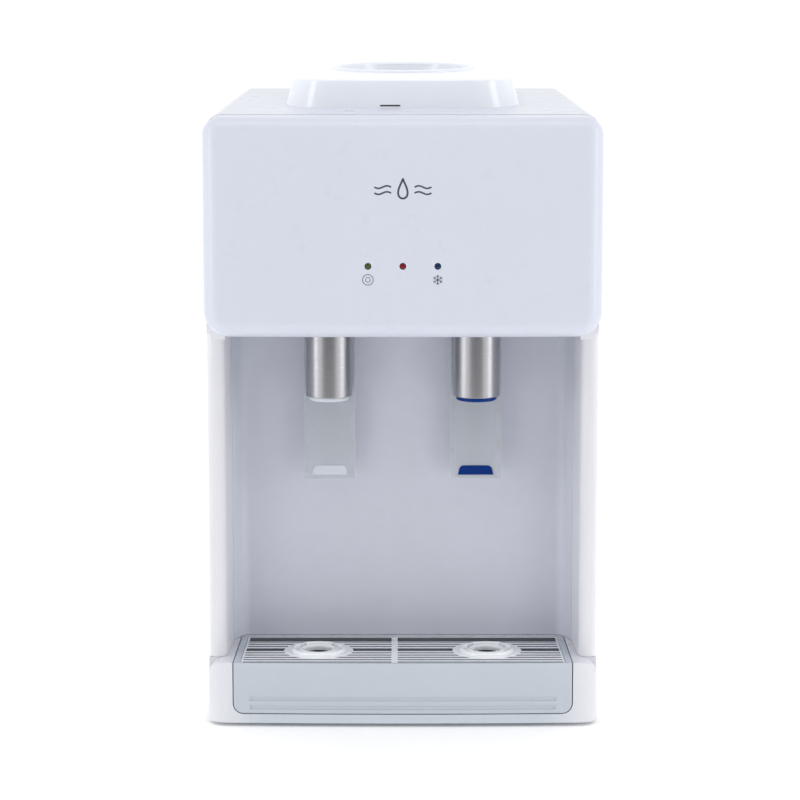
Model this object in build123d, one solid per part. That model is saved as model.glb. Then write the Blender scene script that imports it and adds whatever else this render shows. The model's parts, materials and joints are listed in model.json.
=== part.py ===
from build123d import *
import math
import os

# Countertop water dispenser, hot and cold, with a bottle standing upside down on top.
# Millimetres. X to the user's right, Y towards the wall, Z up.
# The origin is on the table, below the middle of the whole machine.

# ---- overall sizes ---------------------------------------------------------------
width = 310.0                # across the head, its widest part
rear_taper = 16.5            # the cabinet is narrower by this on each side at its back edge
depth = 356.0                # head front to the wall spacers
cabinet_height = 486.5       # table to the flat top cover
head_height = 171.0          # front cover of the head
base_height = 52.0           # table to the seam between base and columns
foot_height = 3.0
condenser_space = 13.0       # behind the cabinet, for the condenser and spacers
head_depth = 42.0            # the front cover, measured along Y at its sides
head_overhang = 20.0         # the head stands this far in front of the base
alcove_margin = 16.8         # from the machine's side to the alcove's edge, behind a column
alcove_depth = 98.0
front_bow = 3.5              # the middle of each front face stands this far forward
side_round = 14.0            # top corners of the head, seen from the front
rear_side_round = 8.0        # the same corners at the back of the cabinet
head_low_round = 20.0
head_front_round = 12.0

# ---- walls and clearances --------------------------------------------------------
plastic = 3.0
thin_plastic = 2.0
sheet = 1.0
seam_gap = 0.3               # between mouldings that come apart by hand
slide_gap = 0.8              # around the drip tray
running_gap = 0.05           # radial, between a pin or stem and its bore
overcut = 1.0                # how far a cutting shape runs past the face it cuts

# ---- main planes, worked out from those sizes ------------------------------------
head_front = -depth / 2
head_rear = head_front + head_depth
base_front = head_front + head_overhang
alcove_back = base_front + alcove_depth
cabinet_rear = depth / 2 - condenser_space
head_bottom = cabinet_height - head_height
alcove_half = width / 2 - alcove_margin
skirt_low = cabinet_height - 36.0
alcove_corner = 9.0
column_rear = head_rear + 26.0
panel_front = alcove_back - 18.0

# ---- base and columns ------------------------------------------------------------
base_corner = 14.0           # upright corners
seam_round = 12.0            # the seam drops round this radius at the outside
column_nose = 13.5           # width of a column's front, before rounding
column_outer_round = 5.0
column_inner_round = 8.0
pan_floor = 3.0

# ---- drip tray and grille --------------------------------------------------------
tray_half = alcove_half - 3.3
tray_taper = 3.0             # narrower on each side at its back edge
tray_low_round = 8.0
tray_bottom = 11.0
tray_wall = 2.4
tray_front_wall = 1.7
tray_rim = 5.0               # the ledge on each side that the grille drops between
grille_thickness = 2.4
grille_drop = 0.5            # grille face below the tray's rim
slot_width = 3.0
slot_pitch = 7.6
wide_slot = 9.0
rear_slot = 12.5
centre_bar = 5.0
centre_bar_x = -6.6
side_bar = 1.5
cup_x = 68.0                 # cup rings, each side of the middle
cup_back = 46.0              # cup ring centre behind the tray's front face
cup_plate_radius = 28.0
cup_ring_radius = 22.5
cup_inner_radius = 15.8
cup_hole_radius = 11.4

# ---- taps ------------------------------------------------------------------------
tap_x = 59.0
tap_back = 54.0              # tap axis behind the columns' front
sleeve_radius = 18.7
sleeve_wall = 1.2
sleeve_length = 56.0         # seen below the head
nozzle_radius = 16.4
nozzle_bore = 6.0
nozzle_proud = 3.4
valve_radius = 14.0
valve_height = 33.0
stem_radius = 2.5
stem_head_radius = 5.0
poppet_radius = 8.0
pin_radius = 2.0
paddle_width = 40.8
paddle_thickness = 2.6
paddle_drop = 127.0          # below the head's lower edge
paddle_lean = 3.0            # degrees forward of upright
paddle_rib = 1.2
tab_width = 27.1
tab_height = 7.6
tab_rise = 2.7               # above the paddle's lower edge

# ---- bottle seat -----------------------------------------------------------------
seat_width = 189.4
seat_depth = 195.0
seat_corner = 38.0
seat_draft = 6.0
seat_height = 27.5
seat_roof_rise = 5.5         # wall's top edge below the rim
rim_radius = 60.0
well_top_radius = 54.0
well_low_radius = 40.0
well_depth = 52.0            # rim to the floor of the well
probe_radius = 8.0
seat_y = 33.0                # middle of the seat and of the cold tank

# ---- tanks and cooling -----------------------------------------------------------
cold_tank_radius = 62.0
cold_tank_height = 112.0
tank_sheet = 1.0
coil_tube = 3.0
coil_turns = 4.5
coil_pitch = 14.0
insulation_wall = 21.0
hot_tank_radius = 40.0
hot_tank_height = 122.0
hot_jacket_wall = 14.0
compressor_radius = 58.0
compressor_height = 128.0
hose_radius = 5.0
hose_gap = 0.2
pipe_radius = 2.5
condenser_tube = 2.5
condenser_runs = 12
condenser_pitch = 24.0
condenser_half = 95.0
wire_radius = 0.8
wire_pitch = 15.0


# ---- places worked out from the sizes above --------------------------------------
tray_rear = alcove_back - 6.0
tap_y = base_front + tap_back
shelf_top = head_bottom + thin_plastic
bracket_low = shelf_top + 4.0
bracket_top = bracket_low + 2.0
pivot_y = tap_y + 26.0
pivot_z = bracket_top + 17.0
valve_top = bracket_top + valve_height
stem_top = valve_top + 6.0
sleeve_low = head_bottom - sleeve_length
rim_top = cabinet_height + seat_height
well_floor = rim_top - well_depth
tank_top = well_floor - 7.0
tank_low = tank_top - cold_tank_height
jacket_top = head_bottom - 35.0
jacket_radius = hot_tank_radius + hot_jacket_wall
jacket_low = jacket_top - hot_tank_height - 2 * hot_jacket_wall
hot_tank_x, hot_tank_y = -72.0, 18.0
compressor_x, compressor_y = 50.0, 85.0
pan_top = foot_height + pan_floor
drain_x, drain_z = hot_tank_x, 34.0
spout_radius = 7.0
gland_x, gland_z = 98.0, 30.0
gland_radius = 8.0
terminal_x, terminal_y = 45.0 - width / 2, 108.0
foot_x = width / 2 - 37.0
foot_places = [(-foot_x, base_front + 34), (foot_x, base_front + 34),
               (6 - foot_x, cabinet_rear - 33), (foot_x - 6, cabinet_rear - 33)]
led_places = [(-27.0, "left"), (0.0, "centre"), (27.0, "right")]
led_z = head_bottom + 56.8
led_radius = 2.7
switch_places = [(-26.0, "hot"), (26.0, "cold")]
switch_z = cabinet_height - 62.0
top_lap = 28.0
top_hole = 64.0
seat_level = bracket_top + 17.0
inlet_z = seat_level + 7.5
nose_radius = 2.0
nose_z = stem_top + 0.3 + nose_radius
panel_screw_heights = [base_height + 22, (base_height + cabinet_height) / 2 - 20, cabinet_height - 58]
cold_outlet = (36.0, seat_y)
riser_y = alcove_back + 14.0
hot_feed = (8.0, hot_tank_y)
condenser_y = cabinet_rear + 6.0
condenser_low = base_height + 34.0
spacer_x = condenser_half + 35
discharge_x = condenser_half + 25
discharge_z = pan_top + 14 + compressor_height + 32
drier_place = (-20.0, cabinet_rear - 25, base_height + 12)
coil_radius = cold_tank_radius + coil_tube + 0.4
coil_foot = tank_low - insulation_wall / 2
riser_radius = coil_radius + 2 * coil_tube + 0.5
dome_top = pan_top + 14 + compressor_height
condenser_top = condenser_low + (condenser_runs - 1) * condenser_pitch
rocker_y = cabinet_rear - 7.0
rocker_radius = 11.0
rocker_tilt = 8.0


# ---- small helpers ---------------------------------------------------------------
def block(x0, x1, y0, y1, z0, z1):
    """Box between two opposite corners."""
    middle = Pos((x0 + x1) / 2, (y0 + y1) / 2, (z0 + z1) / 2)
    return middle * Box(x1 - x0, y1 - y0, z1 - z0)


def post(x, y, z0, z1, radius):
    """Upright round bar."""
    return Pos(x, y, (z0 + z1) / 2) * Cylinder(radius, z1 - z0)


def bar_x(x0, x1, y, z, radius):
    """Round bar along X."""
    return Pos((x0 + x1) / 2, y, z) * Rot(0, 90, 0) * Cylinder(radius, x1 - x0)


def bar_y(x, y0, y1, z, radius):
    """Round bar along Y."""
    return Pos(x, (y0 + y1) / 2, z) * Rot(90, 0, 0) * Cylinder(radius, y1 - y0)


def pipe(points, radius, bends):
    """Round pipe along straight runs joined by arcs."""
    path = FilletPolyline(*points, radius=bends)
    start = Plane(origin=path @ 0, z_dir=path % 0)
    return sweep(start * Circle(radius), path=path)


def both_sides(shape):
    """A piece and its mirror image."""
    return shape + mirror(shape, about=Plane.YZ)


def group(pieces):
    """Equal pieces kept together as separate solids."""
    return Compound(children=[solid for piece in pieces for solid in piece.solids()])


def front_plane(y):
    """Upright plane at depth y, with local axes X and Z."""
    return Plane(origin=(0, y, 0), x_dir=(1, 0, 0), z_dir=(0, -1, 0))


def half_width(y):
    """Half the cabinet's width at depth y: it narrows evenly behind the head."""
    slope = -rear_taper / (cabinet_rear - head_rear)
    return width / 2 + slope * max(y - head_rear, 0)


def plan_prism(y0, y1, z0, z1, inset):
    """The cabinet's plan between two depths, inset from its outer faces."""
    depths = [y0, y1]
    if y0 < head_rear < y1:
        depths = [y0, head_rear, y1]
    right = [(half_width(y) - inset, y) for y in depths]
    left = [(-x, y) for x, y in reversed(right)]
    outline = make_face(Polyline(*right, *left, close=True))
    return extrude(Pos(0, 0, z0) * outline, z1 - z0)


def bowed_front(y, inset=0.0):
    """Very large upright drum whose surface is the bowed front face at depth y."""
    half = width / 2
    radius = (half ** 2 + front_bow ** 2) / (2 * front_bow)
    return Pos(0, y + radius, cabinet_height / 2) * Cylinder(radius - inset, 2 * cabinet_height)


def section(y, z0, inset):
    """Upright slice of the cabinet at depth y, from z0 to its rounded top."""
    share = (y - head_rear) / (cabinet_rear - head_rear)
    corner = side_round + (rear_side_round - side_round) * max(share, 0)
    half = half_width(y) - inset
    top = cabinet_height - inset
    outline = make_face(Polyline((-half, z0), (half, z0), (half, top), (-half, top), close=True))
    upper = outline.vertices().sort_by(Axis.Y)[2:]
    return front_plane(y) * fillet(upper, max(corner - inset, 1.0))


def screw_y(x, y, z, length, head=3.5, shank=1.6):
    """Pan-head screw driven towards -Y into a face at depth y."""
    cap = fillet(bar_y(x, y, y + 2.0, z, head).edges().sort_by(Axis.Y)[-1], 1.0)
    return cap + bar_y(x, y - length, y, z, shank)


# ---- base ------------------------------------------------------------------------
def shoulder_cutter():
    """What rounds the base's top outer corners in front of the columns."""
    half = width / 2
    low = base_height - seam_round
    corner = block(half - seam_round, half + overcut, base_front - 9, head_rear,
                   low, base_height + overcut)
    corner -= bar_y(half - seam_round, base_front - 10, head_rear + overcut, low, seam_round)
    return both_sides(corner)


def tray_section(y, gap):
    """Upright slice of the drip tray at depth y, grown by a gap all round."""
    share = (y - base_front) / (tray_rear - base_front)
    half = tray_half - tray_taper * share + gap
    low = tray_bottom - gap
    top = base_height + 10
    outline = make_face(Polyline((-half, low), (half, low), (half, top), (-half, top), close=True))
    lower = outline.vertices().sort_by(Axis.Y)[:2]
    return front_plane(y) * fillet(lower, tray_low_round + gap)


def make_base():
    """Base moulding: floor pan at the back, pocket for the drip tray at the front."""
    body = plan_prism(base_front - 6, cabinet_rear, foot_height, base_height, 0)
    body &= bowed_front(base_front)
    corners = body.edges().filter_by(Axis.Z).sort_by(Axis.Y)[:2]
    body = fillet(corners, base_corner)
    body -= shoulder_cutter()
    front, back = base_front - 12, tray_rear + slide_gap
    body -= loft([tray_section(front, slide_gap), tray_section(back, slide_gap)], ruled=True)
    low = foot_height + pan_floor
    body -= plan_prism(alcove_back + plastic, cabinet_rear - plastic, low,
                       base_height + overcut, plastic)
    recess_top = tray_bottom - slide_gap - plastic
    body -= block(-tray_half + 30, tray_half - 30, base_front + 8, tray_rear - 4,
                  foot_height - overcut, recess_top)
    column_core = block(tray_half + slide_gap + plastic, width / 2 - 2 * plastic,
                        base_front + base_corner, alcove_back - plastic,
                        foot_height - overcut, base_height - seam_round)
    body -= both_sides(column_core)
    body -= bar_y(drain_x, cabinet_rear - 2 * plastic, cabinet_rear + overcut, drain_z,
                  spout_radius + seam_gap)
    body -= bar_y(gland_x, cabinet_rear - 2 * plastic, cabinet_rear + overcut, gland_z,
                  gland_radius)
    return body


def make_feet():
    """Four rubber feet under the base."""
    feet = []
    for x, y in foot_places:
        foot = post(x, y, 0, foot_height, 10.0)
        feet.append(fillet(foot.edges().sort_by(Axis.Z)[0], 1.0))
    return Compound(children=[f.solid() for f in feet])


# ---- front frame and alcove ------------------------------------------------------
def column_outline(inset):
    """Plan of the right column's face: outer wall, rounded nose, raking inner side."""
    nose = head_rear + inset
    outer = width / 2 - seam_gap - inset
    inner = width / 2 - seam_gap - column_nose + inset
    return [(outer, column_rear), (outer, nose), (inner, nose), (alcove_half + inset, panel_front)]


def make_front_frame():
    """White frame: two columns, cheeks beside the head and the ring that joins them."""
    low = base_height + seam_gap
    top = head_bottom - seam_gap
    skin = column_outline(0)
    core = column_outline(plastic)[::-1]
    radii = [0, column_outer_round, column_inner_round, 0, 0, column_inner_round - plastic,
             column_outer_round - plastic + 0.5, 0]
    profile = make_face(FilletPolyline(*skin, *core, radius=radii, close=True))
    column = extrude(Pos(0, 0, low) * profile, top - low)
    trim = plan_prism(head_rear - 1, column_rear + 1, low - 1, cabinet_height, seam_gap)
    column &= trim + block(-width, width, column_rear - 1, alcove_back, low - 1, cabinet_height)
    outer = half_width(head_rear) - seam_gap
    cheek = block(outer - plastic, outer + 1, head_rear, column_rear, top - 1, skirt_low)
    column += cheek & trim
    ring_top = cabinet_height - plastic - 2.0
    ring = extrude(section(head_rear, top - 12, plastic + seam_gap), -plastic)
    ring &= block(-width, width, head_rear, head_rear + plastic, top - 6, ring_top)
    ring -= block(-alcove_half + 8, alcove_half - 8, head_rear - overcut,
                  head_rear + plastic + overcut, head_bottom + 14, ring_top - 14)
    ring -= block(-alcove_half - 2, alcove_half + 2, head_rear - overcut,
                  head_rear + plastic + overcut, top - 13, shelf_top + seam_gap)
    return both_sides(column) + ring


def alcove_outline(inset):
    """Plan of the alcove's wall: a flat back with rounded corners and raking ends."""
    half = alcove_half - seam_gap + inset
    front = panel_front + seam_gap
    back = alcove_back + inset
    return [(half, front), (half - 7.0, back), (7.0 - half, back), (-half, front)]


def make_alcove_panel():
    """Silver-grey wall at the back of the alcove."""
    inner = FilletPolyline(*alcove_outline(0), radius=alcove_corner)
    outer = FilletPolyline(*alcove_outline(thin_plastic), radius=alcove_corner + thin_plastic)
    wall = make_face(outer + Line(outer @ 0, outer @ 1))
    wall -= make_face(inner + Line(inner @ 0, inner @ 1))
    low = base_height + seam_gap
    return extrude(Pos(0, 0, low) * wall, head_bottom - seam_gap - low)


def make_tap_shelf():
    """Ceiling of the alcove, with the openings for both taps and paddles."""
    plate = block(-alcove_half, alcove_half, head_rear, alcove_back + thin_plastic,
                  head_bottom, shelf_top)
    for x in (-tap_x, tap_x):
        plate -= post(x, tap_y, head_bottom - overcut, head_bottom + plastic,
                      sleeve_radius + seam_gap)
        half = paddle_width / 2 + 1.5
        plate -= block(x - half, x + half, pivot_y - 4.5, alcove_back - 3,
                       head_bottom - overcut, head_bottom + plastic)
    return plate


# ---- head ------------------------------------------------------------------------
def head_solid(inset):
    """The head's whole shape, inset from its outer face on every side but the back."""
    half = width / 2 - inset
    low = head_bottom + inset
    top = cabinet_height - inset
    outline = make_face(Polyline((-half, low), (half, low), (half, top), (-half, top), close=True))
    lower = outline.vertices().sort_by(Axis.Y)[:2]
    outline = fillet(lower, head_low_round - inset)
    upper = outline.vertices().sort_by(Axis.Y)[-2:]
    outline = fillet(upper, side_round - inset)
    body = extrude(front_plane(head_rear) * outline, head_depth + 10)
    body &= bowed_front(head_front + inset)
    face = body.faces().sort_by(Axis.Y)[0]
    return fillet(face.edges(), head_front_round - inset)


def make_head_cover():
    """Front cover of the head, one shell with three small holes for the lights."""
    inner = head_solid(plastic)
    cover = head_solid(0) - inner
    cover -= block(-width, width, head_rear - top_lap, head_rear + overcut,
                   cabinet_height - 2 * plastic, cabinet_height + overcut)
    for x, _ in led_places:
        cover -= bar_y(x, head_front - overcut, head_front + 2 * plastic, led_z, led_radius)
    return cover


def make_top_cover():
    """Flat top with short skirts, narrowing towards the wall."""
    outer = loft([section(head_rear, skirt_low, 0), section(cabinet_rear, skirt_low, 0)], ruled=True)
    hollow_low = skirt_low - overcut
    inner = loft([section(head_rear - overcut, hollow_low, plastic),
                  section(cabinet_rear - plastic, hollow_low, plastic)], ruled=True)
    lap = head_solid(seam_gap) & block(-width, width, head_rear - top_lap + seam_gap, head_rear,
                                       cabinet_height - 2 * plastic, cabinet_height + overcut)
    lap -= block(-width, width, head_rear - top_lap - 1, head_rear + 1, 0, cabinet_height - plastic)
    cover = outer - inner + lap
    cover -= post(0, seat_y, cabinet_height - 10, cabinet_height + 10, top_hole)
    return cover


def make_indicator_board():
    """Small circuit board behind the three lights."""
    y = head_front + plastic + 8.0
    board = block(-42, 42, y, y + 1.6, led_z - 18, led_z + 12)
    for x in (-36, 36):
        board -= bar_y(x, y - overcut, y + 3, led_z - 12, 1.6)
    return board


def make_light(x):
    """Round lens of one light, reaching from the board to the cover's face."""
    face = head_front + front_bow * (2 * x / width) ** 2
    lens = bar_y(x, face + 0.1, head_front + plastic + 8.0, led_z, led_radius - seam_gap / 3)
    return fillet(lens.edges().sort_by(Axis.Y)[0], 0.8)


# ---- cabinet ---------------------------------------------------------------------
def make_side_panel():
    """Right side panel: sheet steel with a flange turned in at the back."""
    low, high = base_height, skirt_low
    flange_y = cabinet_rear - 3.0
    panel = plan_prism(column_rear, flange_y, low, high, 0)
    panel -= plan_prism(column_rear - overcut, flange_y - sheet, low - overcut, high + overcut, sheet)
    panel &= block(0, width, column_rear, flange_y, low, high)
    panel -= block(0, half_width(flange_y) - 14, column_rear - overcut, flange_y + overcut,
                   low - overcut, high + overcut)
    for z in panel_screw_heights:
        panel -= bar_y(half_width(cabinet_rear) - 8, flange_y - 5, flange_y + 5, z, 1.6)
    return panel


def make_rear_panel():
    """Sheet at the back with cooling slots and the holes for what passes through."""
    y0 = cabinet_rear - 3.0
    y1 = y0 + sheet
    half = half_width(cabinet_rear) - 2.0
    panel = block(-half, half, y0, y1, base_height, skirt_low)
    for column in range(-3, 4):
        for row in range(6):
            x = column * 30.0
            z = base_height + 60 + row * 9.0
            panel -= block(x - 11, x + 11, y0 - 1, y1 + 1, z, z + 3.5)
    for x, _ in switch_places:
        panel -= block(x - 8.2, x + 8.2, y0 - 1, y1 + 1, switch_z - 12.2, switch_z + 12.2)
    for x in (-1, 1):
        for z in panel_screw_heights:
            panel -= bar_y(x * (half_width(cabinet_rear) - 8), y0 - 1, y1 + 1, z, 1.6)
    panel -= bar_y(discharge_x, y0 - 1, y1 + 1, discharge_z, pipe_radius + 2)
    panel -= bar_y(-discharge_x, y0 - 1, y1 + 1, condenser_low, pipe_radius + 2)
    return panel


def make_cabinet_screws():
    """Screws through the rear panel into the side panels' flanges."""
    screws = []
    for side in (-1, 1):
        for z in panel_screw_heights:
            x = side * (half_width(cabinet_rear) - 8)
            screws.append(screw_y(x, cabinet_rear - 2.0, z, 8.0, shank=1.5).solid())
    return Compound(children=screws)


# ---- taps ------------------------------------------------------------------------
def make_sleeve(x):
    """Satin metal sleeve of one tap."""
    sleeve = post(x, tap_y, sleeve_low, bracket_low, sleeve_radius)
    sleeve = fillet(sleeve.edges().sort_by(Axis.Z)[0], 0.6)
    return sleeve - post(x, tap_y, sleeve_low - 1, bracket_low + 1, sleeve_radius - sleeve_wall)


def make_nozzle(x):
    """Spout inside the sleeve; its lower edge shows as a coloured ring."""
    low = sleeve_low - nozzle_proud
    nozzle = post(x, tap_y, low, bracket_low, nozzle_radius)
    nozzle = fillet(nozzle.edges().sort_by(Axis.Z)[0], 1.4)
    nozzle -= post(x, tap_y, low - 1, low + 6, nozzle_radius - 3.0)
    return nozzle - post(x, tap_y, low - 1, bracket_low + 1, nozzle_bore)


def make_valve_body(x):
    """Valve housing with an upper and a lower chamber, and two lugs for the pivot."""
    body = post(x, tap_y, bracket_top, valve_top, valve_radius)
    for side in (-1, 1):
        inner = x + side * 8.5
        outer = x + side * 13.0
        low, high = sorted((inner, outer))
        body += block(low, high, tap_y, pivot_y + 5, pivot_z - 5, pivot_z + 5)
    body -= post(x, tap_y, bracket_top + 3, seat_level, 11.0)
    body -= post(x, tap_y, seat_level + 3, valve_top - 3, 11.0)
    body -= post(x, tap_y, seat_level - 1, seat_level + 4, 5.0)
    body -= post(x, tap_y, bracket_top - 1, bracket_top + 4, 4.0)
    body -= post(x, tap_y, valve_top - 4, valve_top + 1, stem_radius + running_gap)
    body -= block(x - 8.5, x + 8.5, tap_y + valve_radius + 1, pivot_y + 6, pivot_z - 6, pivot_z + 6)
    body -= bar_x(x - 14, x + 14, pivot_y, pivot_z, pin_radius)
    body -= bar_y(x, tap_y + 9, tap_y + 16, inlet_z, 3.0)
    return body


def make_plunger(x):
    """Valve stem: a poppet under the seat and a round head above the housing."""
    plunger = post(x, tap_y, seat_level - 0.3 - 3.0, seat_level - 0.3, poppet_radius)
    plunger += post(x, tap_y, seat_level - 1, stem_top, stem_radius)
    return plunger + post(x, tap_y, stem_top - 2, stem_top, stem_head_radius)


def make_spring(x):
    """Coil spring that lifts the poppet against its seat."""
    low = bracket_top + 3 + 0.7
    high = seat_level - 3.3 - 0.7
    turns = 4
    path = Helix(pitch=(high - low) / turns, height=high - low, radius=7.0)
    wire = sweep(Plane(origin=path @ 0, z_dir=path % 0) * Circle(0.6), path=path)
    return Pos(x, tap_y, low) * wire


def make_paddle(x):
    """Push paddle: a thin plate behind the tap, hung from ears, with a rocker arm above."""
    plate_top = pivot_z - 8
    low = head_bottom - paddle_drop
    half = paddle_width / 2
    plate = block(-half, half, -paddle_thickness / 2, paddle_thickness / 2,
                  low - pivot_z, plate_top - pivot_z)
    for side in (-1, 1):
        edge = side * (half - paddle_rib / 2)
        plate += block(edge - paddle_rib / 2, edge + paddle_rib / 2, -paddle_thickness / 2 - 1.2,
                       paddle_thickness / 2, low - pivot_z, head_bottom - 2 - pivot_z)
    plate = Rot(-paddle_lean, 0, 0) * plate
    for side in (-1, 1):
        ear_x = side * (half - 2.2)
        ear = block(ear_x - 2.2, ear_x + 2.2, -4.5, 4.5, plate_top - pivot_z - 3, 4.5)
        arm_low = nose_z - pivot_z - 3.0
        ear += block(ear_x - 2.2, ear_x + 2.2, -4.5, 3.0, 4.0, arm_low + 6)
        ear += block(ear_x - 2.2, ear_x + 2.2, tap_y - pivot_y - 2.5, 3.0, arm_low + 1, arm_low + 6)
        plate += ear
    plate += bar_x(-half, half, tap_y - pivot_y, nose_z - pivot_z, nose_radius)
    paddle = Pos(x, pivot_y, pivot_z) * plate
    paddle -= bar_x(x - half - 1, x + half + 1, pivot_y, pivot_z, pin_radius + running_gap)
    return paddle - tab_shape(x)


def tab_shape(x):
    """Coloured tab inlaid in the paddle's foot: flat below, rounded above."""
    low = head_bottom - paddle_drop + tab_rise - pivot_z
    half = tab_width / 2
    outline = make_face(Polyline((-half - 0.8, low), (half + 0.8, low), (half - 0.8, low + tab_height),
                                 (-half + 0.8, low + tab_height), close=True))
    upper = outline.vertices().sort_by(Axis.Y)[-2:]
    outline = front_plane(0) * fillet(upper, 4.0)
    tab = extrude(outline, paddle_thickness / 2 + 0.5)
    return Pos(x, pivot_y, pivot_z) * Rot(-paddle_lean, 0, 0) * tab


def make_pivot_pin(x):
    """Steel pin held in the valve housing's lugs; the paddle's ears turn on it."""
    half = paddle_width / 2
    return bar_x(x - half, x + half, pivot_y, pivot_z, pin_radius)


def make_tap_bracket():
    """Steel plate across the head that carries both valves."""
    plate = block(-alcove_half + 10, alcove_half - 10, head_rear + plastic, tap_y + 17,
                  bracket_low, bracket_top)
    for x in (-tap_x, tap_x):
        plate -= post(x, tap_y, bracket_low - 1, bracket_top + 1, 4.0)
    return plate


# ---- drip tray -------------------------------------------------------------------
def tray_prism(inset, z0, z1, front, back):
    """Plan of the tray between two depths, inset from its sides."""
    def half(y):
        share = (y - base_front) / (tray_rear - base_front)
        return tray_half - tray_taper * share - inset
    points = [(-half(front), front), (half(front), front), (half(back), back), (-half(back), back)]
    return extrude(Pos(0, 0, z0) * make_face(Polyline(*points, close=True)), z1 - z0)


def make_drip_tray():
    """Basin with a bowed front face, two shallow grip lines and a ledge for the grille."""
    body = loft([tray_section(base_front - 8, 0), tray_section(tray_rear, 0)], ruled=True)
    body &= block(-width, width, base_front - 9, tray_rear, 0, base_height)
    body &= bowed_front(base_front)
    for z in (14.2, 21.2):
        line = block(-tray_half + 13, tray_half - 13, base_front - 9, base_front + 9, z, z + 3.2)
        body -= line - bowed_front(base_front, 0.6)
    ledge = base_height - grille_drop - grille_thickness
    front = base_front + front_bow
    body -= tray_prism(tray_rim - 2.0, tray_bottom + 14, ledge, front + tray_front_wall,
                       tray_rear - tray_wall)
    basin = tray_prism(10.0, tray_bottom + tray_wall, ledge, front + 4, tray_rear - tray_wall)
    body -= basin
    body -= tray_prism(tray_rim, ledge, base_height + 1, front + tray_front_wall - 1.0, tray_rear + 1)
    return body


def make_grille():
    """Slotted grille with a bar from front to back and two round openings."""
    top = base_height - grille_drop
    low = top - grille_thickness
    front = base_front + front_bow + tray_front_wall - 1.0 + seam_gap
    back = tray_rear - seam_gap
    plate = tray_prism(tray_rim + seam_gap, low, top, front, back)
    edges = slot_edges(front, back)
    for y0, y1 in edges:
        slot = tray_prism(tray_rim + seam_gap + side_bar, low - 1, top + 1, y0, y1)
        slot -= block(centre_bar_x - centre_bar / 2, centre_bar_x + centre_bar / 2,
                      y0 - 1, y1 + 1, low - 2, top + 2)
        plate -= slot
    cup_y = base_front + cup_back
    for x in (-cup_x, cup_x):
        plate += post(x, cup_y, low, top, cup_plate_radius)
        plate -= post(x, cup_y, low - 1, top + 1, cup_ring_radius - 2)
    return plate


def slot_edges(front, back):
    """Front and back edge of each slot, from the front to the wide one at the back."""
    edges = []
    y = front + 1.6
    for _ in range(5):
        edges.append((y, y + slot_width))
        y += slot_pitch
    edges.append((y, y + wide_slot))
    y += wide_slot + slot_pitch - slot_width
    for _ in range(3):
        edges.append((y, y + slot_width))
        y += slot_pitch
    edges.append((back - 2.0 - rear_slot, back - 2.0))
    return edges


def make_cup_ring(x):
    """Raised ring that shows where the cup goes: rim, spokes and a small inner ring."""
    top = base_height - grille_drop
    y = base_front + cup_back
    ring = post(x, y, top, top + 0.8, cup_plate_radius - 1)
    ring -= post(x, y, top - 1, top + 3, cup_ring_radius - 2.4)
    crown = Pos(x, y, top + 0.8) * Torus(cup_ring_radius - 2.4, 2.0)
    crown &= post(x, y, top, top + 5, cup_plate_radius)
    ring += crown
    dish = post(x, y, top - 2.4, top + 0.2, cup_ring_radius - 2.4)
    ring += dish - post(x, y, top - 3, top + 2, cup_hole_radius)
    for turn in range(4):
        gap = Pos(cup_inner_radius + 2.0, 0, 0) * Box(2.6, 7.0, 8.0)
        ring -= Pos(x, y, top) * Rot(0, 0, 45 + 90 * turn) * gap
    inner = Pos(x, y, top + 0.4) * Torus((cup_inner_radius + cup_hole_radius) / 2, 1.8)
    return ring + inner


# ---- bottle seat -----------------------------------------------------------------
def seat_slice(half_x, half_y, corner, z):
    """Rounded rectangle at height z, centred on the seat."""
    corners = [(-half_x, -half_y), (half_x, -half_y), (half_x, half_y), (-half_x, half_y)]
    outline = make_face(Polyline(*corners, close=True))
    return Pos(0, seat_y, z) * fillet(outline.vertices(), corner)


def seat_block(inset, low):
    """Drafted soft square with a shallow roof that closes to a round rim."""
    half_x = seat_width / 2 - inset
    half_y = seat_depth / 2 - inset
    crease = rim_top - seat_roof_rise - inset
    foot = seat_slice(half_x, half_y, seat_corner - inset, low)
    shoulder = seat_slice(half_x - seat_draft, half_y - seat_draft,
                          seat_corner - inset - seat_draft / 2, crease)
    rim = seat_slice(rim_radius, rim_radius, rim_radius - 0.05, rim_top - 2.0 - inset)
    body = loft([foot, shoulder], ruled=True) + loft([shoulder, rim], ruled=True)
    if inset:
        return body
    edges = [e for e in body.edges() if abs(e.center().Z - crease) < 0.5 and e.length > 5]
    return fillet(edges, 2.0)


def make_bottle_seat():
    """Removable seat that the bottle's shoulder rests on, with the well for its neck."""
    seat = seat_block(0, cabinet_height) - seat_block(2.6, cabinet_height)
    outer = [(0, well_floor), (well_low_radius + 3, well_floor), (well_top_radius + 3, rim_top - 3),
             (0, rim_top - 3)]
    inner = [(0, well_floor + 3), (well_low_radius, well_floor + 3), (well_top_radius, rim_top - 3),
             (well_top_radius + 1.5, rim_top + 5), (0, rim_top + 5)]
    seat += Pos(0, seat_y, 0) * revolve(Plane.XZ * make_face(Polyline(*outer, close=True)), Axis.Z)
    rim = Torus((rim_radius + well_top_radius) / 2, 2.2)
    seat += Pos(0, seat_y, rim_top - 2.2) * rim
    seat -= Pos(0, seat_y, 0) * revolve(Plane.XZ * make_face(Polyline(*inner, close=True)), Axis.Z)
    for turn in range(6):
        angle = math.radians(60 * turn)
        x = 24 * math.cos(angle)
        y = seat_y + 24 * math.sin(angle)
        seat -= post(x, y, well_floor - 1, well_floor + 4, 5.0)
    seat -= post(0, seat_y, well_floor - 1, well_floor + 4, probe_radius)
    return seat


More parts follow.
